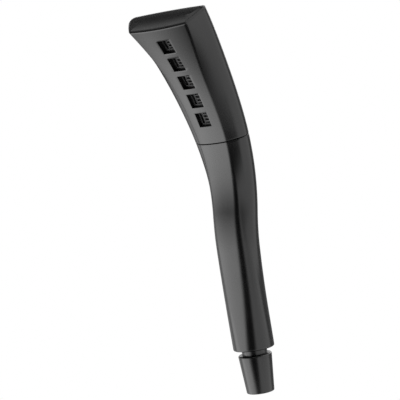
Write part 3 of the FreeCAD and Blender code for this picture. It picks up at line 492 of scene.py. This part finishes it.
# ------------------------------------------------------------------ materials
def new_group(name, inputs, outputs):
    """An empty node group with named sockets, and its input and output nodes."""
    group = bpy.data.node_groups.new(name, "ShaderNodeTree")
    for label, kind, value in inputs:
        socket = group.interface.new_socket(label, in_out="INPUT", socket_type=f"NodeSocket{kind}")
        socket.default_value = value
    for label, kind in outputs:
        group.interface.new_socket(label, in_out="OUTPUT", socket_type=f"NodeSocket{kind}")
    return group, group.nodes.new("NodeGroupInput"), group.nodes.new("NodeGroupOutput")


def feed(tree, socket, source):
    """Links a source to a socket, or sets the socket where the source is a number."""
    if isinstance(source, float):
        socket.default_value = source
    else:
        tree.links.new(source, socket)


NOISE_ROUGHNESS = 0.55


def noise_node(tree, vector, scale, detail):
    node = tree.nodes.new("ShaderNodeTexNoise")
    node.inputs["Detail"].default_value = detail
    node.inputs["Roughness"].default_value = NOISE_ROUGHNESS
    tree.links.new(vector, node.inputs["Vector"])
    tree.links.new(scale, node.inputs["Scale"])
    return node.outputs["Fac"]


def map_range(tree, value, low, high, to_low, to_high):
    """Carries a value smoothly from one range to another."""
    node = tree.nodes.new("ShaderNodeMapRange")
    node.interpolation_type = "SMOOTHSTEP"
    for label, amount in (("Value", value), ("From Min", low), ("From Max", high),
                          ("To Min", to_low), ("To Max", to_high)):
        feed(tree, node.inputs[label], amount)
    return node.outputs["Result"]


# A Mix node has its own sockets for each kind of value, told apart by number.
COLOUR_SOCKETS = (6, 7)
COLOUR_RESULT = 2
NUMBER_SOCKETS = (2, 3)
NUMBER_RESULT = 0


def mix_colours(tree, mask, first, second):
    node = tree.nodes.new("ShaderNodeMix")
    node.data_type = "RGBA"
    tree.links.new(mask, node.inputs["Factor"])
    for number, source in zip(COLOUR_SOCKETS, (first, second)):
        feed(tree, node.inputs[number], source)
    return node.outputs[COLOUR_RESULT]


def mix_numbers(tree, mask, first, second):
    node = tree.nodes.new("ShaderNodeMix")
    node.data_type = "FLOAT"
    tree.links.new(mask, node.inputs["Factor"])
    for number, source in zip(NUMBER_SOCKETS, (first, second)):
        feed(tree, node.inputs[number], source)
    return node.outputs[NUMBER_RESULT]


def add_heights(tree, first, second, share):
    """Adds a share of a second height to the first."""
    node = tree.nodes.new("ShaderNodeMath")
    node.operation = "MULTIPLY_ADD"
    tree.links.new(second, node.inputs[0])
    node.inputs[1].default_value = share
    tree.links.new(first, node.inputs[2])
    return node.outputs[0]


FLECK_EDGES = (0.52, 0.72)  # noise where a fleck starts and where it is full
PATCH_EDGES = (0.3, 0.7)  # noise at the smoothest and at the roughest patches
PATCH_SHARE = 0.35  # height of the patches, as a share of the grain's


def build_grain_group():
    """Fine grain of a coated or moulded surface: colour, roughness and height."""
    group, given, result = new_group(
        "surface_grain",
        (("Grain Scale", "Float", 1800.0), ("Patch Scale", "Float", 45.0),
         ("Color", "Color", (0.01, 0.01, 0.01, 1.0)),
         ("Fleck Color", "Color", (0.02, 0.02, 0.02, 1.0)),
         ("Roughness Low", "Float", 0.3), ("Roughness High", "Float", 0.4)),
        (("Color", "Color"), ("Roughness", "Float"), ("Height", "Float")))
    where = group.nodes.new("ShaderNodeTexCoord").outputs["Object"]
    grain = noise_node(group, where, given.outputs["Grain Scale"], detail=2.0)
    patches = noise_node(group, where, given.outputs["Patch Scale"], detail=4.0)
    fleck = map_range(group, grain, *FLECK_EDGES, 0.0, 1.0)
    tint = mix_colours(group, fleck, given.outputs["Color"], given.outputs["Fleck Color"])
    roughness = map_range(group, patches, *PATCH_EDGES, given.outputs["Roughness Low"],
                          given.outputs["Roughness High"])
    height = add_heights(group, grain, patches, PATCH_SHARE)
    for label, socket in (("Color", tint), ("Roughness", roughness), ("Height", height)):
        group.links.new(socket, result.inputs[label])
    return group


def build_lines_group():
    """Fine parallel lines left by turning or drawing, as a height."""
    group, given, result = new_group(
        "tool_lines", (("Line Scale", "Float", 900.0), ("Wander", "Float", 0.6)),
        (("Height", "Float"),))
    where = group.nodes.new("ShaderNodeTexCoord").outputs["Object"]
    waves = group.nodes.new("ShaderNodeTexWave")
    waves.bands_direction = "Z"
    group.links.new(where, waves.inputs["Vector"])
    group.links.new(given.outputs["Line Scale"], waves.inputs["Scale"])
    group.links.new(given.outputs["Wander"], waves.inputs["Distortion"])
    group.links.new(waves.outputs["Fac"], result.inputs["Height"])
    return group


def shared_group(name):
    builders = {"surface_grain": build_grain_group, "tool_lines": build_lines_group}
    return bpy.data.node_groups.get(name) or builders[name]()


def place_group(tree, name, **values):
    node = tree.nodes.new("ShaderNodeGroup")
    node.node_tree = shared_group(name)
    for label, value in values.items():
        node.inputs[label.replace("_", " ")].default_value = value
    return node


def finish_name(slot):
    """The name of a slot's finish, apart from the plain material that the frame brings."""
    return f"{slot}_finish"


BUMP_STRENGTH = 0.5


def grained_material(name, base, fleck, grain, patch, rough, depth, **shader_values):
    """A material whose colour, roughness and bump come from the grain group.

    grain and patch are noise scales, rough is the lowest and the highest roughness, and
    depth is the bump's height in metres.
    """
    material = bpy.data.materials.new(finish_name(name))
    material.use_nodes = True
    tree = material.node_tree
    shader = tree.nodes["Principled BSDF"]
    surface = place_group(tree, "surface_grain", Grain_Scale=grain, Patch_Scale=patch,
                          Color=(*base, 1.0), Fleck_Color=(*fleck, 1.0),
                          Roughness_Low=rough[0], Roughness_High=rough[1])
    tree.links.new(surface.outputs["Color"], shader.inputs["Base Color"])
    tree.links.new(surface.outputs["Roughness"], shader.inputs["Roughness"])
    bump = tree.nodes.new("ShaderNodeBump")
    bump.inputs["Strength"].default_value = BUMP_STRENGTH
    bump.inputs["Distance"].default_value = depth
    tree.links.new(surface.outputs["Height"], bump.inputs["Height"])
    tree.links.new(bump.outputs["Normal"], shader.inputs["Normal"])
    for label, value in shader_values.items():
        shader.inputs[label.replace("_", " ")].default_value = value
    return material


def add_tool_lines(material, scale, wander, share):
    """Adds turned lines to a grained material's bump."""
    tree = material.node_tree
    bump = tree.nodes["Bump"]
    grain = bump.inputs["Height"].links[0].from_socket
    lines = place_group(tree, "tool_lines", Line_Scale=scale, Wander=wander)
    height = add_heights(tree, grain, lines.outputs["Height"], share)
    tree.links.new(height, bump.inputs["Height"])
    return material


def lighter(base, share):
    return tuple(part * (1 + share) for part in base)


SHELL_GLOSS_SPREAD = 0.06


def satin_black():
    """Coating of the casings and of the hose end."""
    look = bpy.context.scene.shower_finish
    return grained_material("satin_black", look.shell, look.shell_fleck,
                            grain=1500.0, patch=30.0, depth=0.006 * MM,
                            rough=(look.shell_gloss, look.shell_gloss + SHELL_GLOSS_SPREAD))


def fitting_black():
    """Nylon of the tail fitting, with lines left by turning."""
    look = bpy.context.scene.shower_finish
    material = grained_material("fitting_black", look.fitting, lighter(look.fitting, share=0.8),
                                grain=1300.0, patch=60.0, rough=(0.26, 0.34), depth=0.008 * MM)
    return add_tool_lines(material, scale=520.0, wander=0.4, share=0.5)


def insert_black():
    """Matt soft plastic of the spray inserts."""
    look = bpy.context.scene.shower_finish
    return grained_material("insert_black", look.insert, lighter(look.insert, share=1.0),
                            grain=1100.0, patch=90.0, rough=(0.45, 0.6), depth=0.01 * MM)


def inner_black():
    """Black plastic of the collar inside the joint."""
    look = bpy.context.scene.shower_finish
    return grained_material("inner_black", lighter(look.fitting, share=0.6),
                            lighter(look.fitting, share=1.5),
                            grain=900.0, patch=80.0, rough=(0.4, 0.55), depth=0.012 * MM)


def inner_grey():
    """Grey plastic of the water chamber and the pipe."""
    look = bpy.context.scene.shower_finish
    return grained_material("inner_grey", look.inner, lighter(look.inner, share=0.18),
                            grain=700.0, patch=60.0, rough=(0.35, 0.5), depth=0.012 * MM)


def valve_white():
    """Pale smooth plastic of the check valves and the flow regulator."""
    look = bpy.context.scene.shower_finish
    return grained_material("valve_white", look.valve, lighter(look.valve, share=0.1),
                            grain=800.0, patch=120.0, rough=(0.25, 0.35), depth=0.006 * MM)


def seal_rubber():
    """Moulded rubber of the seals."""
    look = bpy.context.scene.shower_finish
    return grained_material("seal_rubber", look.rubber, lighter(look.rubber, share=1.6),
                            grain=1600.0, patch=150.0, rough=(0.6, 0.78), depth=0.015 * MM)


def spring_steel():
    """Drawn steel of the springs, the snap ring and the strainer."""
    look = bpy.context.scene.shower_finish
    material = grained_material("spring_steel", look.steel, lighter(look.steel, share=0.2),
                                grain=1400.0, patch=200.0, rough=(0.2, 0.32),
                                depth=0.004 * MM, Metallic=1.0)
    return add_tool_lines(material, scale=1500.0, wander=1.2, share=0.8)


FINISHES = {
    "satin_black": satin_black,
    "fitting_black": fitting_black,
    "insert_black": insert_black,
    "inner_black": inner_black,
    "inner_grey": inner_grey,
    "valve_white": valve_white,
    "seal_rubber": seal_rubber,
    "spring_steel": spring_steel,
}


def finish(slot):
    """A slot's finish, made when it is first asked for."""
    return bpy.data.materials.get(finish_name(slot)) or FINISHES[slot]()


# ------------------------------------------------------------------ pieces
def turned_piece(name, profile, segments):
    """A piece of revolution: one ring is extruded round a closed (radius, height) profile."""
    deselect_all()
    radius, height = profile[0]
    bpy.ops.mesh.primitive_circle_add(vertices=segments, radius=radius,
                                      location=(0.0, 0.0, height))
    piece = name_new(name)
    start(piece)
    bpy.ops.object.transform_apply(location=True, rotation=False, scale=False)
    bpy.ops.object.mode_set(mode="EDIT")
    bpy.ops.mesh.select_all(action="SELECT")
    for next_radius, next_height in list(profile[1:]) + [profile[0]]:
        bpy.ops.mesh.extrude_region_move(
            TRANSFORM_OT_translate={"value": (0.0, 0.0, next_height - height)})
        share = next_radius / radius
        bpy.ops.transform.resize(value=(share, share, 1.0), center_override=(0.0, 0.0, 0.0))
        radius, height = next_radius, next_height
    bpy.ops.mesh.select_all(action="SELECT")
    merge_and_turn_out()
    bpy.ops.object.mode_set(mode="OBJECT")
    return piece


def corner_arc(radius_at, height_at, rounding, first, last):
    """Profile points round a corner, about (radius_at, height_at), between angles in degrees."""
    points = []
    for step in range(ROUND_STEPS + 1):
        turn = math.radians(first + (last - first) * step / ROUND_STEPS)
        points.append((radius_at + rounding * math.cos(turn),
                       height_at + rounding * math.sin(turn)))
    return points


def window_tilt(spine, sizes, index):
    """Lean of the wand where a window lies."""
    return spine.head_start_tilt + sizes.first + index * sizes.pitch


def face_radius(spine):
    """Radius of the head's front face about the head's centre of curvature."""
    return spine.sizes.head_radius + min(point.y for point in section_outline(MID_HEAD, 0.0))


def window_block(name, spine, sizes, index, border, start_depth, end_depth):
    """A square block through a window, between two depths behind its face."""
    tilt = window_tilt(spine, sizes, index)
    middle_radius = face_radius(spine) + (start_depth + end_depth) / 2
    middle = spine.head_centre + middle_radius * spine.outward(tilt)
    side = sizes.width + 2 * border
    deselect_all()
    bpy.ops.mesh.primitive_cube_add(size=1.0, location=(0.0, middle.x, middle.y),
                                    rotation=(tilt, 0.0, 0.0),
                                    scale=(side, end_depth - start_depth, side))
    return name_new(f"{name}_{index}")


def window_blocks(name, spine, sizes, border, start_depth, end_depth):
    """All the windows' blocks joined into one tool."""
    blocks = [window_block(name, spine, sizes, index, border, start_depth, end_depth)
              for index in range(sizes.count)]
    start(blocks[0])
    for block in blocks:
        block.select_set(True)
    bpy.ops.object.transform_apply(location=True, rotation=True, scale=True)
    bpy.ops.object.join()
    return bpy.context.object


WINDOW_CLEAR = 4.0 * MM  # how far the windows' cutting blocks stand out of the face
WINDOW_PAST = 1.0 * MM  # how far they reach past the frame's back
RIM_NEAR = 0.02 * MM
RIM_DEPTH = 0.6 * MM


def round_window_rims(piece, spine, sizes):
    """Bevels the edges where the windows open in the face."""
    start(piece)
    bpy.ops.object.mode_set(mode="EDIT")
    bpy.ops.mesh.select_mode(type="EDGE")
    bpy.ops.mesh.select_all(action="DESELECT")
    bpy.ops.object.mode_set(mode="OBJECT")
    face = face_radius(spine)
    facings = [spine.outward(window_tilt(spine, sizes, index)) for index in range(sizes.count)]
    mesh = piece.data

    def on_rim(vertex):
        place = Vector((vertex.co.y, vertex.co.z)) - spine.head_centre
        for outward in facings:
            depth = place.dot(outward) - face
            up = place.dot(Vector((-outward.y, outward.x)))
            beside = max(abs(vertex.co.x), abs(up))
            if abs(beside - sizes.width / 2) < RIM_NEAR and depth < RIM_DEPTH:
                return True
        return False

    rim = [on_rim(vertex) for vertex in mesh.vertices]
    for edge in mesh.edges:
        edge.select = rim[edge.vertices[0]] and rim[edge.vertices[1]]
    bpy.ops.object.mode_set(mode="EDIT")
    bpy.ops.mesh.bevel(offset=sizes.rim_round, segments=2, affect="EDGES", clamp_overlap=True)
    bpy.ops.mesh.select_mode(type="VERT")
    bpy.ops.object.mode_set(mode="OBJECT")


class BuildHeadShell(bpy.types.Operator):
    """Model the flared head's casing with its spray windows"""
    bl_idname = "shower.head_shell"
    bl_label = "Head Shell"
    # Distances in from the outline to the rings that close the head's end.
    CAP_INSETS = (1.5 * MM, 2.8 * MM, 4.2 * MM, 5.8 * MM, 7.4 * MM, 8.7 * MM)

    def execute(self, context):
        sizes = context.scene.shower_wand
        windows = context.scene.shower_windows
        spine = Spine(sizes)
        joint = spine.at_tilt(sizes.joint_tilt) + sizes.joint_gap / 2
        ceiling = spine.end - sizes.end_wall
        half_depth = TOP.depth / 2

        def crown(inset):
            return sizes.end_crown * (1 - ((half_depth - inset) / half_depth)**2)

        rows = [(ceiling, inset, 0.0) for inset in reversed(self.CAP_INSETS) if inset > sizes.wall]
        rows += [(at, sizes.wall, 0.0) for at in spaced(ceiling, joint, sizes.ring_spacing)]
        rows += list(reversed(rounded_edge(joint, -1, sizes.joint_round)))
        rows += [(at, 0.0, 0.0) for at in spaced(joint + sizes.ring_spacing,
                                                 spine.end - sizes.ring_spacing,
                                                 sizes.ring_spacing)]
        rows += bevelled_edge(spine.end, sizes.end_bevel_drop, sizes.end_bevel)
        rows += [(spine.end, inset, crown(inset)) for inset in self.CAP_INSETS]
        piece = skin("head_casing", spine, rows)
        edit(piece, close_holes)
        combine(piece, window_blocks("window_frame", spine, windows, windows.frame_wall,
                                     windows.frame_root, windows.frame_depth), "UNION")
        combine(piece, window_blocks("window", spine, windows, 0.0, -WINDOW_CLEAR,
                                     windows.frame_depth + WINDOW_PAST), "DIFFERENCE")
        round_window_rims(piece, spine, windows)
        shade(piece)
        finish_piece(piece, finish("satin_black"), "satin_black", "handset", "head_shell")
        return {"FINISHED"}


class BuildHandleShell(bpy.types.Operator):
    """Model the grip's casing"""
    bl_idname = "shower.handle_shell"
    bl_label = "Grip Shell"

    def execute(self, context):
        sizes = context.scene.shower_wand
        spine = Spine(sizes)
        joint = spine.at_tilt(sizes.joint_tilt) - sizes.joint_gap / 2
        rows = [(at, sizes.wall, 0.0) for at in spaced(joint, 0.0, sizes.ring_spacing)]
        rows += list(reversed(rounded_edge(0.0, -1, sizes.rim_round)))
        rows += [(at, 0.0, 0.0) for at in spaced(sizes.ring_spacing,
                                                 joint - sizes.ring_spacing,
                                                 sizes.ring_spacing)]
        rows += rounded_edge(joint, 1, sizes.joint_round)
        rows.append(rows[0])
        piece = skin("grip_casing", spine, rows)
        edit(piece, merge_and_turn_out)
        shade(piece)
        finish_piece(piece, finish("satin_black"), "satin_black", "handset", "handle_shell")
        return {"FINISHED"}


class BuildHoseEnd(bpy.types.Operator):
    """Model the conical hose end that turns on the tail"""
    bl_idname = "shower.hose_end"
    bl_label = "Hose End"
    SEGMENTS = 128  # points round the cone

    def execute(self, context):
        sizes = context.scene.shower_hose_end
        foot = sizes.foot_round
        shoulder = sizes.shoulder_round
        mouth = sizes.mouth_round
        widening = sizes.top_radius - sizes.foot_radius
        slope = widening / CONE_LENGTH
        lean = math.degrees(math.atan2(widening, CONE_LENGTH))
        slant = math.cos(math.radians(lean))
        foot_at = sizes.foot_radius + slope * foot - foot / slant
        shoulder_at = sizes.top_radius - slope * shoulder - shoulder / slant
        groove_foot = sizes.groove_top - sizes.groove_height
        groove = sizes.stem_radius + sizes.groove_depth
        profile = corner_arc(foot_at, foot, foot, -90.0, -lean)
        profile += corner_arc(shoulder_at, CONE_LENGTH - shoulder, shoulder, -lean, 90.0)
        profile += corner_arc(sizes.stem_radius + mouth, CONE_LENGTH - mouth, mouth, 90.0, 180.0)
        profile += [(sizes.stem_radius, sizes.groove_top), (groove, sizes.groove_top),
                    (groove, groove_foot), (sizes.stem_radius, groove_foot),
                    (sizes.stem_radius, sizes.stem_foot), (sizes.disc_radius, sizes.stem_foot),
                    (sizes.disc_radius, sizes.washer_top), (sizes.washer_radius, sizes.washer_top),
                    (sizes.washer_radius, sizes.socket_depth),
                    (sizes.socket_radius, sizes.socket_depth)]
        profile += corner_arc(sizes.socket_radius + mouth, mouth, mouth, 180.0, 270.0)
        piece = turned_piece("hose_cone", profile, self.SEGMENTS)
        shade(piece)
        finish_piece(piece, finish("satin_black"), "satin_black", "hose_end", "connector_cone")
        return {"FINISHED"}


def merged_copy(node, name):
    """A copy of a design node with its loose triangles merged."""
    piece = bpy.data.objects.new(name, frame["nodes"][node].data.copy())
    bpy.context.scene.collection.objects.link(piece)
    edit(piece, lambda: bpy.ops.mesh.remove_doubles(threshold=MERGE_DISTANCE))
    return piece


FLAT_ANGLE = math.radians(1.0)
SHARP_ANGLE = math.radians(40.0)


def edged_copy(node, name, width):
    """A copy of a design node, merged, with its sharp edges rounded."""
    piece = merged_copy(node, name)
    edit(piece, lambda: bpy.ops.mesh.dissolve_limited(angle_limit=FLAT_ANGLE))
    apply_modifier(piece, "BEVEL", width=width, segments=2, limit_method="ANGLE",
                   angle_limit=SHARP_ANGLE, harden_normals=False)
    shade(piece)
    return piece


class BuildSprayInserts(bpy.types.Operator):
    """Model the spray inserts behind the windows"""
    bl_idname = "shower.spray_inserts"
    bl_label = "Spray Inserts"

    def execute(self, context):
        sizes = context.scene.shower_windows
        for number, node in enumerate(INSERTS, 1):
            piece = edged_copy(node, f"spray_comb_{number}", sizes.insert_round)
            finish_piece(piece, finish("insert_black"), "insert_black", "handset", node)
        return {"FINISHED"}


class BuildValveSprings(bpy.types.Operator):
    """Model the check valves' springs"""
    bl_idname = "shower.valve_springs"
    bl_label = "Valve Springs"

    def execute(self, context):
        for joint in frame["record"]["behaviour"]["joints"]:
            for spring in joint.get("deforming_nodes", ()):
                node = spring["node"]
                piece = merged_copy(node, f"{node}_coil")
                shade(piece)
                finish_piece(piece, finish("spring_steel"), "spring_steel", joint["parent"], node)
                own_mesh(piece)
        return {"FINISHED"}


class FinishInnerPieces(bpy.types.Operator):
    """Give the design's own pieces their finishes"""
    bl_idname = "shower.inner_pieces"
    bl_label = "Inner Pieces"

    def execute(self, context):
        for entry in frame["record"]["subparts"]:
            node = frame["nodes"][entry["node"]]
            node.data.materials.clear()
            node.data.materials.append(finish(entry["material_slot"]))
        return {"FINISHED"}


# ------------------------------------------------------------------ stage
class Softbox(NamedTuple):
    """A soft rectangular light far away: its place and half sizes in degrees, and brightness."""
    azimuth: float
    elevation: float
    half_width: float
    half_height: float
    softness: float
    strength: float


# Where each light stands, with -Y as the front: azimuth runs anticlockwise from +X.
SOFTBOXES = (
    Softbox(-128.0, -21.5, 35.0, 24.5, 26.0, 3.8),  # front left, low
    Softbox(10.0, -32.5, 48.0, 29.5, 12.0, 1.45),  # right, low
    Softbox(186.0, 50.0, 12.6, 12.0, 5.0, 1.0),  # left, high, small
    Softbox(95.0, -6.0, 30.0, 28.0, 20.0, 0.25),  # behind, faint
    Softbox(171.0, -11.0, 16.0, 25.0, 14.0, 0.8),  # left, level
    Softbox(60.0, 40.0, 48.0, 26.0, 18.0, 2.4),  # behind right, high
    Softbox(130.0, 16.0, 22.0, 9.0, 8.0, 1.2),  # behind left, a flat strip
    Softbox(-20.0, 75.0, 34.0, 30.0, 20.0, 1.3),  # overhead
)
AMBIENT = 0.03
AHEAD_EDGE = 0.1  # keeps a light from showing again on the opposite side
WHITE = (1.0, 1.0, 1.0, 1.0)
SURROUND_STRENGTH = 1.0
CLIP_START = 0.05
CLIP_END = 50.0


def direction(azimuth, elevation):
    """A direction from angles in degrees, azimuth anticlockwise from +X."""
    turn, rise = math.radians(azimuth), math.radians(elevation)
    return Vector((math.cos(rise) * math.cos(turn), math.cos(rise) * math.sin(turn),
                   math.sin(rise)))


def combine_values(tree, operation, first, second):
    """A math node on a socket and a socket or number."""
    node = tree.nodes.new("ShaderNodeMath")
    node.operation = operation
    feed(tree, node.inputs[0], first)
    feed(tree, node.inputs[1], second)
    return node.outputs[0]


def along_axis(tree, where, axis):
    """How far a direction points along an axis, from -1 to 1."""
    node = tree.nodes.new("ShaderNodeVectorMath")
    node.operation = "DOT_PRODUCT"
    tree.links.new(where, node.inputs[0])
    node.inputs[1].default_value = axis
    return node.outputs["Value"]


def inside_half(tree, where, axis, half_size, softness):
    """A soft mask that is 1 within half a light's size of its middle line."""
    offset = combine_values(tree, "ABSOLUTE", along_axis(tree, where, axis), 0.0)
    near = math.sin(math.radians(half_size - softness / 2))
    far = math.sin(math.radians(half_size + softness / 2))
    return map_range(tree, offset, near, far, 1.0, 0.0)


def softbox_glow(tree, where, light):
    """A soft light's brightness in each direction."""
    facing = direction(light.azimuth, light.elevation)
    across = direction(light.azimuth + 90.0, 0.0)
    ahead = map_range(tree, along_axis(tree, where, facing), 0.0, AHEAD_EDGE, 0.0,
                      light.strength)
    wide = inside_half(tree, where, across, light.half_width, light.softness)
    high = inside_half(tree, where, facing.cross(across), light.half_height, light.softness)
    return combine_values(tree, "MULTIPLY", combine_values(tree, "MULTIPLY", ahead, wide), high)


def build_world():
    """Soft studio light, with a plain white surround for the camera."""
    world = bpy.data.worlds.new("studio")
    bpy.context.scene.world = world
    world.use_nodes = True
    tree = world.node_tree
    background = tree.nodes["Background"]
    where = tree.nodes.new("ShaderNodeTexCoord").outputs["Generated"]
    total = combine_values(tree, "ADD", softbox_glow(tree, where, SOFTBOXES[0]), AMBIENT)
    for light in SOFTBOXES[1:]:
        total = combine_values(tree, "ADD", total, softbox_glow(tree, where, light))
    seen = tree.nodes.new("ShaderNodeLightPath").outputs["Is Camera Ray"]
    strength = mix_numbers(tree, seen, total, SURROUND_STRENGTH)
    background.inputs["Color"].default_value = WHITE
    tree.links.new(strength, background.inputs["Strength"])


def build_floor(sizes):
    """A white floor that lights nothing and can be looked through from below."""
    deselect_all()
    bpy.ops.mesh.primitive_plane_add(size=sizes.floor_size,
                                     location=(0.0, 0.0, -sizes.floor_drop))
    floor = name_new("floor")
    material = bpy.data.materials.new("pale_floor")
    material.use_nodes = True
    tree = material.node_tree
    tree.nodes.clear()
    glow = tree.nodes.new("ShaderNodeEmission")
    glow.inputs["Color"].default_value = WHITE
    clear = tree.nodes.new("ShaderNodeBsdfTransparent")
    from_below = tree.nodes.new("ShaderNodeNewGeometry").outputs["Backfacing"]
    either = tree.nodes.new("ShaderNodeMixShader")
    output = tree.nodes.new("ShaderNodeOutputMaterial")
    tree.links.new(from_below, either.inputs["Fac"])
    tree.links.new(glow.outputs["Emission"], either.inputs[1])
    tree.links.new(clear.outputs["BSDF"], either.inputs[2])
    tree.links.new(either.outputs["Shader"], output.inputs["Surface"])
    floor.data.materials.append(material)
    floor.visible_diffuse = False
    floor.visible_glossy = False
    floor.visible_transmission = False
    floor.visible_shadow = False


def build_camera(sizes):
    """A camera that circles the wand's middle, looks at the aim and is then rolled."""
    data = bpy.data.cameras.new("camera")
    camera = bpy.data.objects.new("camera", data)
    bpy.context.scene.collection.objects.link(camera)
    data.lens = sizes.lens
    data.clip_start = CLIP_START
    data.clip_end = CLIP_END
    back = Vector((math.sin(sizes.azimuth) * math.cos(sizes.elevation),
                   -math.cos(sizes.azimuth) * math.cos(sizes.elevation),
                   math.sin(sizes.elevation)))
    place = Vector((0.0, 0.0, sizes.middle)) + back * sizes.distance
    view = (Vector(sizes.aim) - place).to_track_quat("-Z", "Y").to_matrix()
    turn = view @ Matrix.Rotation(-sizes.roll, 3, "Z")
    camera.matrix_world = Matrix.Translation(place) @ turn.to_4x4()
    bpy.context.scene.camera = camera


class BuildStage(bpy.types.Operator):
    """Set up the pale floor, the soft light and the camera"""
    bl_idname = "shower.stage"
    bl_label = "Stage"

    def execute(self, context):
        sizes = context.scene.shower_stage
        build_floor(sizes)
        build_world()
        build_camera(sizes)
        context.scene.view_settings.view_transform = "Standard"
        return {"FINISHED"}


OPERATORS = (BuildHeadShell, BuildHandleShell, BuildHoseEnd, BuildSprayInserts,
             BuildValveSprings, FinishInnerPieces, BuildStage)


class ShowerPanel(bpy.types.Panel):
    """Lists the pieces and their sizes"""
    bl_idname = "VIEW3D_PT_shower_head"
    bl_label = "Shower Head"
    bl_space_type = "VIEW_3D"
    bl_region_type = "UI"
    bl_category = "Shower Head"

    def draw(self, context):
        layout = self.layout
        for operator in OPERATORS:
            layout.operator(operator.bl_idname)
        for name, group in GROUPS.items():
            box = layout.box()
            box.label(text=group.__doc__)
            for prop in group.__annotations__:
                box.prop(getattr(context.scene, name), prop)


def register():
    for group in GROUPS.values():
        bpy.utils.register_class(group)
    for name, group in GROUPS.items():
        setattr(bpy.types.Scene, name, bpy.props.PointerProperty(type=group))
    for item in OPERATORS + (ShowerPanel,):
        bpy.utils.register_class(item)


def unregister():
    for item in reversed(OPERATORS + (ShowerPanel,)):
        bpy.utils.unregister_class(item)
    for name in GROUPS:
        delattr(bpy.types.Scene, name)
    for group in reversed(list(GROUPS.values())):
        bpy.utils.unregister_class(group)


def main():
    register()
    bpy.ops.shower.head_shell()
    bpy.ops.shower.handle_shell()
    bpy.ops.shower.hose_end()
    bpy.ops.shower.spray_inserts()
    bpy.ops.shower.valve_springs()
    bpy.ops.shower.inner_pieces()
    bpy.ops.shower.stage()


if __name__ == "__main__":
    main()
